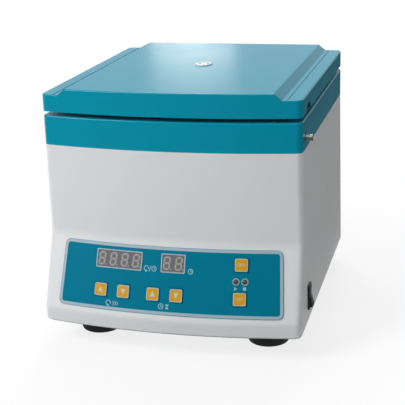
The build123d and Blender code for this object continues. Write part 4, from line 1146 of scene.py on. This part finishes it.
@dataclass
class Chamber(SubAssembly):
    """The steel bowl, its seal and the motor under it."""

    def build(self) -> None:
        """Dress the chamber's and the motor's nodes."""
        self.dress(Finishes.SPUN_STAINLESS, "chamber_bowl")
        self.dress(Finishes.BLACK_RUBBER, "chamber_gasket", "shaft_boot", "motor_dampers")
        self.dress(Finishes.ZINC_STEEL, "damper_bolts", "motor_plate")
        self.dress(Finishes.BLACK_ENAMEL, "motor_can", "motor_end_cap")
        self.dress(Finishes.POLISHED_STEEL, "motor_bearings")
        self.dress(Finishes.FERRITE, "field_magnets")
        self.dress(Finishes.CARBON, "motor_brushes")


@dataclass
class Rotor(SubAssembly):
    """The shaft with its armature, the dished head, the six sleeves and the nut."""

    places: int = 6
    number_radius: float = 16.0
    number_size: float = 5.6
    number_depth: float = 0.05
    crown_z: float = 205.1

    def build(self) -> None:
        """Dress the rotor's nodes and number its places."""
        self.dress(Finishes.POLISHED_STEEL, "drive_shaft")
        self.dress(Finishes.WOUND_COPPER, "motor_armature")
        self.dress(Finishes.TURNED_ALUMINIUM, "rotor_head", "tube_sleeves", "rotor_nut")
        crown = Vector((0.0, self.body.chamber_y, self.crown_z))
        plates = []
        for place in range(self.places):
            turn = 2 * math.pi * place / self.places
            outward = Vector((math.cos(turn), math.sin(turn), 0.0))
            along = Vector((-math.sin(turn), math.cos(turn), 0.0))
            plates.append(Plate(crown + outward * self.number_radius, along, -outward))
        draft = Draft(plates[0].at)
        for number, plate in enumerate(plates, 1):
            draft.place = plate.at
            draft.letters(str(number), self.number_size, 0.0, self.number_depth)
        draft.piece("RotorNumbers", "rotor", Finishes.ETCHED_DARK)


@dataclass
class Hinges(SubAssembly):
    """Two steel hinges behind the lid, with their screws."""

    spacing: float = 170.0
    plate: float = 2.0
    screw_pitch: float = 13.0
    body_screw_z: float = 231.0
    lid_screw_z: float = 256.0

    def build(self) -> None:
        """Dress the hinges and add their screws."""
        self.dress(Finishes.ZINC_STEEL, "hinge_body_leaves")
        self.dress(Finishes.POLISHED_STEEL, "hinge_pins")
        for name, body, height, head in (
            ("HingeBodyScrews", "base", self.body_screw_z, 3.2),
            ("HingeLidScrews", "lid", self.lid_screw_z, 2.8),
        ):
            places = [
                self.body.rear(x + step * self.screw_pitch, height, self.plate)
                for x in (-self.spacing / 2, self.spacing / 2)
                for step in (-1, 0, 1)
            ]
            Screw(head=head).build(name, body, places)


@dataclass
class LidLock(SubAssembly):
    """The push pin, its bush, and the sensor that feels the closed lid."""

    def build(self) -> None:
        """Dress the lock's nodes."""
        self.dress(Finishes.POLISHED_STEEL, "latch_pin")
        self.dress(Finishes.BLACK_NYLON, "latch_bush", "lid_sensor")


@dataclass
class PowerInlet(SubAssembly):
    """The rocker switch, the mains inlet, the fuse and the power electronics."""

    inlet_x: float = -28.0
    inlet_z: float = 62.0
    flange: float = 2.5
    screw_pitch: float = 40.0
    # The rocker's side view: points out from the middle and above the bench
    rocker_y: float = -104.8
    rocker_top: Point = (139.75, 64.93)
    rocker_ridge: Point = (139.91, 54.04)
    rocker_foot: Point = (142.54, 44.1)
    # The ring's two radii, and the line's width, height and corner radius
    ring: Point = (1.9, 1.4)
    line: tuple[float, float, float] = (0.6, 3.8, 0.15)
    ink: float = 0.05

    def build(self) -> None:
        """Dress the power nodes, print the rocker's signs and add the inlet's screws."""
        self.dress(Finishes.BLACK_NYLON, "rocker_bezel", "power_rocker", "mains_inlet", "fuse_holder")
        self.dress(Finishes.ZINC_STEEL, "inlet_pins")
        self.dress(Finishes.FERRITE, "transformer_core")
        self.dress(Finishes.WOUND_COPPER, "transformer_coil")
        self.dress(Finishes.SOLDER_MASK, "drive_board")
        self.dress(Finishes.WHITE_ABS, "drive_board_posts")
        self.dress(Finishes.BLACK_ENAMEL, "smoothing_capacitor")
        places = [
            self.body.rear(self.inlet_x + side * self.screw_pitch, self.inlet_z, self.flange)
            for side in (-0.5, 0.5)
        ]
        Screw(head=2.9).build("InletScrews", "base", places)
        self.rocker_marks()

    def rocker_face(self, low: Point, high: Point) -> Plate:
        """Find the flat place in the middle of one face of the rocker.

        Args:
            low: Where the face starts in the side view.
            high: Where it ends.

        Returns:
            The place.
        """
        up = Vector((high[0] - low[0], 0.0, high[1] - low[1])).normalized()
        middle = Vector(((low[0] + high[0]) / 2, self.rocker_y, (low[1] + high[1]) / 2))
        return Plate(middle, Vector((0.0, 1.0, 0.0)), up)

    def rocker_marks(self) -> None:
        """Print the line for on and the ring for off on the rocker."""
        off = self.rocker_face(self.rocker_ridge, self.rocker_top)
        on = self.rocker_face(self.rocker_foot, self.rocker_ridge)
        draft = Draft(off.at)
        draft.slab([circle(radius) for radius in self.ring], -self.ink, self.ink)
        draft.place = on.at
        draft.slab([rounded(*self.line, 2)], -self.ink, self.ink)
        draft.piece("RockerMarks", "rocker", Finishes.SWITCH_INK)


# Studio


@dataclass(frozen=True)
class Lamp:
    """A soft white lamp: where it stands, its width and height, all in metres, and its power in watts."""

    name: str
    at: tuple[float, float, float]
    width: float
    height: float
    power: float


@dataclass
class Studio:
    """Floor, soft light and the camera at the photograph's angle, with places in metres."""

    camera_at: Vector = field(default_factory=lambda: Vector((296.7, -1120.3, 482.1)) * MM)
    azimuth: float = 14.93
    elevation: float = 17.53
    roll: float = -1.716
    lens: float = 94.22
    sensor: float = 36.0
    floor_half: float = 6.0
    floor_colour: str = "#f0f0f0"
    floor_bounce: str = "#c8c8c8"
    floor_glow: float = 0.8
    fade_start: float = 0.2
    fade_end: float = 0.5
    cloth_height: float = 0.002
    room_front: float = 0.1
    room_back: float = 0.64
    ceiling: float = 0.95
    shed: float = 0.27
    # Where the wall turns from its dark front to its pale back, and where the ceiling starts to glow, both
    # in the world's own direction
    wall_turn: Point = (0.2, 0.8)
    ceiling_turn: Point = (0.35, 0.7)
    aim: Vector = field(default_factory=lambda: Vector((0.0, 0.0, 0.15)))
    # A large soft lamp from the front left, a weak one from the right, one above the lid and a small one
    # behind whose glow lies on the lid
    lamps: tuple[Lamp, ...] = (
        Lamp("KeyLamp", (-1.50, -1.50, 1.82), 1.2, 1.2, 56.0),
        Lamp("FillLamp", (2.1, -0.95, 0.6), 1.2, 1.2, 4.0),
        Lamp("TopLamp", (-0.2, 1.2, 1.7), 1.2, 1.2, 26.0),
        Lamp("BackLamp", (-0.69, 2.51, 0.65), 0.32, 0.15, 0.32),
    )
    # Dark cloths out of shot, so that the upright faces mirror a dark room and keep their colour
    cloths: tuple[tuple[str, Point, Point], ...] = (
        ("FrontCloth", (-1.6, 1.6), (-1.9, -0.2)),
        ("SideCloth", (0.17, 1.6), (-0.2, 2.6)),
    )

    def build(self) -> None:
        """Set the view transform and make the camera, the floor, the world and the lamps."""
        bpy.context.scene.view_settings.view_transform = "Standard"
        self.camera()
        ends = (-self.floor_half, self.floor_half)
        self.sheet("Floor", ends, ends, 0.0, self.floor_paint())
        self.world()
        for lamp in self.lamps:
            self.light(lamp)
        black = self.cloth_paint()
        for name, across, along in self.cloths:
            cloth = self.sheet(name, across, along, self.cloth_height, black)
            cloth.visible_camera = False
            cloth.visible_shadow = False
            cloth.visible_diffuse = False

    def camera(self) -> None:
        """Make the camera."""
        turn = math.radians(self.azimuth)
        rise = math.radians(self.elevation)
        tilt = math.radians(self.roll)
        back = Vector((math.sin(turn) * math.cos(rise), -math.cos(turn) * math.cos(rise), math.sin(rise)))
        level = Vector((0.0, 0.0, 1.0)).cross(back).normalized()
        upright = back.cross(level)
        right = level * math.cos(tilt) + upright * math.sin(tilt)
        up = upright * math.cos(tilt) - level * math.sin(tilt)
        lens = bpy.data.cameras.new("Camera")
        lens.lens = self.lens
        lens.sensor_width = self.sensor
        lens.sensor_fit = "HORIZONTAL"
        lens.clip_start = 0.05
        lens.clip_end = 50.0
        made = bpy.data.objects.new("Camera", lens)
        bpy.context.scene.collection.objects.link(made)
        facing = Matrix((right, up, back)).transposed().to_4x4()
        made.matrix_world = Matrix.Translation(self.camera_at) @ facing
        bpy.context.scene.camera = made

    def sheet(
        self, name: str, across: Point, along: Point, height: float, paint: bpy.types.Material
    ) -> bpy.types.Object:
        """Lay one flat sheet of the studio.

        Args:
            name: Its name.
            across: Where it starts and ends along X.
            along: Where it starts and ends along Y.
            height: Its height.
            paint: Its material.

        Returns:
            The sheet, which isn't part of the object.
        """
        mesh = bpy.data.meshes.new(name)
        mesh.from_pydata([(x, y, height) for x in across for y in along], [], [(0, 2, 3, 1)])
        mesh.materials.append(paint)
        made = bpy.data.objects.new(name, mesh)
        bpy.context.scene.collection.objects.link(made)
        return made

    def cloth_paint(self) -> bpy.types.Material:
        """Dull black cotton of the cloths.

        Returns:
            The material.
        """
        paint = bpy.data.materials.new("DarkCloth")
        paint.use_nodes = True
        matte = paint.node_tree.nodes[SHADER]
        matte.inputs["Base Color"].default_value = linear("#202020")
        matte.inputs["Roughness"].default_value = 1.0
        return paint

    def floor_paint(self) -> bpy.types.Material:
        """Pale matte paper that fades into the white background away from the object.

        Returns:
            The material.
        """
        paint = bpy.data.materials.new("PaleFloor")
        paint.use_nodes = True
        tree = paint.node_tree
        matte = tree.nodes[SHADER]
        matte.inputs["Roughness"].default_value = 0.9
        matte.inputs["Specular IOR Level"].default_value = 0.0
        white = add_node(tree, "Emission", {"Color": (1.0, 1.0, 1.0, 1.0), "Strength": 1.0})
        place = add_node(tree, "TexCoord")
        away = add_node(tree, "VectorMath", {0: place.outputs["Object"]}, operation="LENGTH")
        inputs = {"Value": away.outputs["Value"], "From Min": self.fade_start, "From Max": self.fade_end}
        inputs["To Min"] = self.floor_glow
        fade = add_node(tree, "MapRange", inputs, interpolation_type="SMOOTHSTEP")
        seen = self.seen_directly(tree)
        inputs = {"Factor": seen, 6: linear(self.floor_bounce), 7: linear(self.floor_colour)}
        paper = add_node(tree, "Mix", inputs, data_type="RGBA")
        tree.links.new(paper.outputs[2], matte.inputs["Base Color"])
        share = add_node(tree, "Math", {0: fade.outputs[0], 1: seen}, operation="MULTIPLY")
        inputs = {0: share.outputs[0], 1: matte.outputs[0], 2: white.outputs[0]}
        mix = add_node(tree, "MixShader", inputs)
        tree.links.new(mix.outputs[0], tree.nodes["Material Output"].inputs["Surface"])
        return paint

    def seen_directly(self, tree: Tree) -> Socket:
        """Add a value that is 1 for camera, glossy and transmission rays and 0 for the rest.

        Args:
            tree: Node tree that takes the nodes.

        Returns:
            The value's socket.
        """
        rays = add_node(tree, "LightPath")
        seen = rays.outputs["Is Camera Ray"]
        for kind in ("Is Glossy Ray", "Is Transmission Ray"):
            either = add_node(tree, "Math", {0: seen, 1: rays.outputs[kind]}, operation="MAXIMUM")
            seen = either.outputs[0]
        return seen

    def world(self) -> None:
        """Make the surroundings: white to the eye, mirrored as a pale wall, a dark front and a ceiling."""
        world = bpy.context.scene.world or bpy.data.worlds.new("World")
        bpy.context.scene.world = world
        world.use_nodes = True
        tree = world.node_tree
        tree.nodes.clear()
        rays = add_node(tree, "LightPath")
        place = add_node(tree, "TexCoord")
        parts = add_node(tree, "SeparateXYZ", {0: place.outputs["Generated"]})
        across = Pattern(parts.outputs["Y"], *self.wall_turn)
        wall = add_node(tree, "MapRange", across.over(self.room_front, self.room_back))
        upward = Pattern(parts.outputs["Z"], *self.ceiling_turn)
        above = add_node(tree, "MapRange", upward.over(0.0, self.ceiling))
        inputs = {0: wall.outputs[0], 1: above.outputs[0]}
        mirrored = add_node(tree, "Math", inputs, operation="MAXIMUM")
        inputs = {"Factor": self.seen_directly(tree), "A": self.shed, "B": mirrored.outputs[0]}
        room = add_node(tree, "Mix", inputs)
        inputs = {"Factor": rays.outputs["Is Camera Ray"], "A": room.outputs[0], "B": 1.0}
        strength = add_node(tree, "Mix", inputs)
        inputs = {"Color": (1.0, 1.0, 1.0, 1.0), "Strength": strength.outputs[0]}
        glow = add_node(tree, "Background", inputs)
        add_node(tree, "OutputWorld", {"Surface": glow.outputs[0]})

    def light(self, lamp: Lamp) -> None:
        """Make a lamp that looks at the middle of the object.

        Args:
            lamp: The lamp.
        """
        glow = bpy.data.lights.new(lamp.name, "AREA")
        glow.shape = "ELLIPSE"
        glow.size = lamp.width
        glow.size_y = lamp.height
        glow.energy = lamp.power
        made = bpy.data.objects.new(lamp.name, glow)
        bpy.context.scene.collection.objects.link(made)
        made.location = lamp.at
        made.rotation_mode = "QUATERNION"
        made.rotation_quaternion = (self.aim - Vector(lamp.at)).to_track_quat("-Z", "Y")
        made.visible_camera = False


def corners(box: tuple[Vector, Vector]) -> list[list[float]]:
    """Lowest and highest corner as plain lists."""
    return [[float(value) for value in corner] for corner in box]


def main() -> None:
    """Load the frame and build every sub-assembly."""
    logging.basicConfig(level=logging.INFO, format="%(name)s: %(message)s")
    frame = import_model()
    body = Body()
    for kind in (Housing, Lid, ControlPanel, Chamber, Rotor, Hinges, LidLock, PowerInlet):
        LOG.info("sub-assembly %s", kind.__name__)
        kind(frame, body).build()
    Studio().build()


if __name__ == "__main__":
    main()
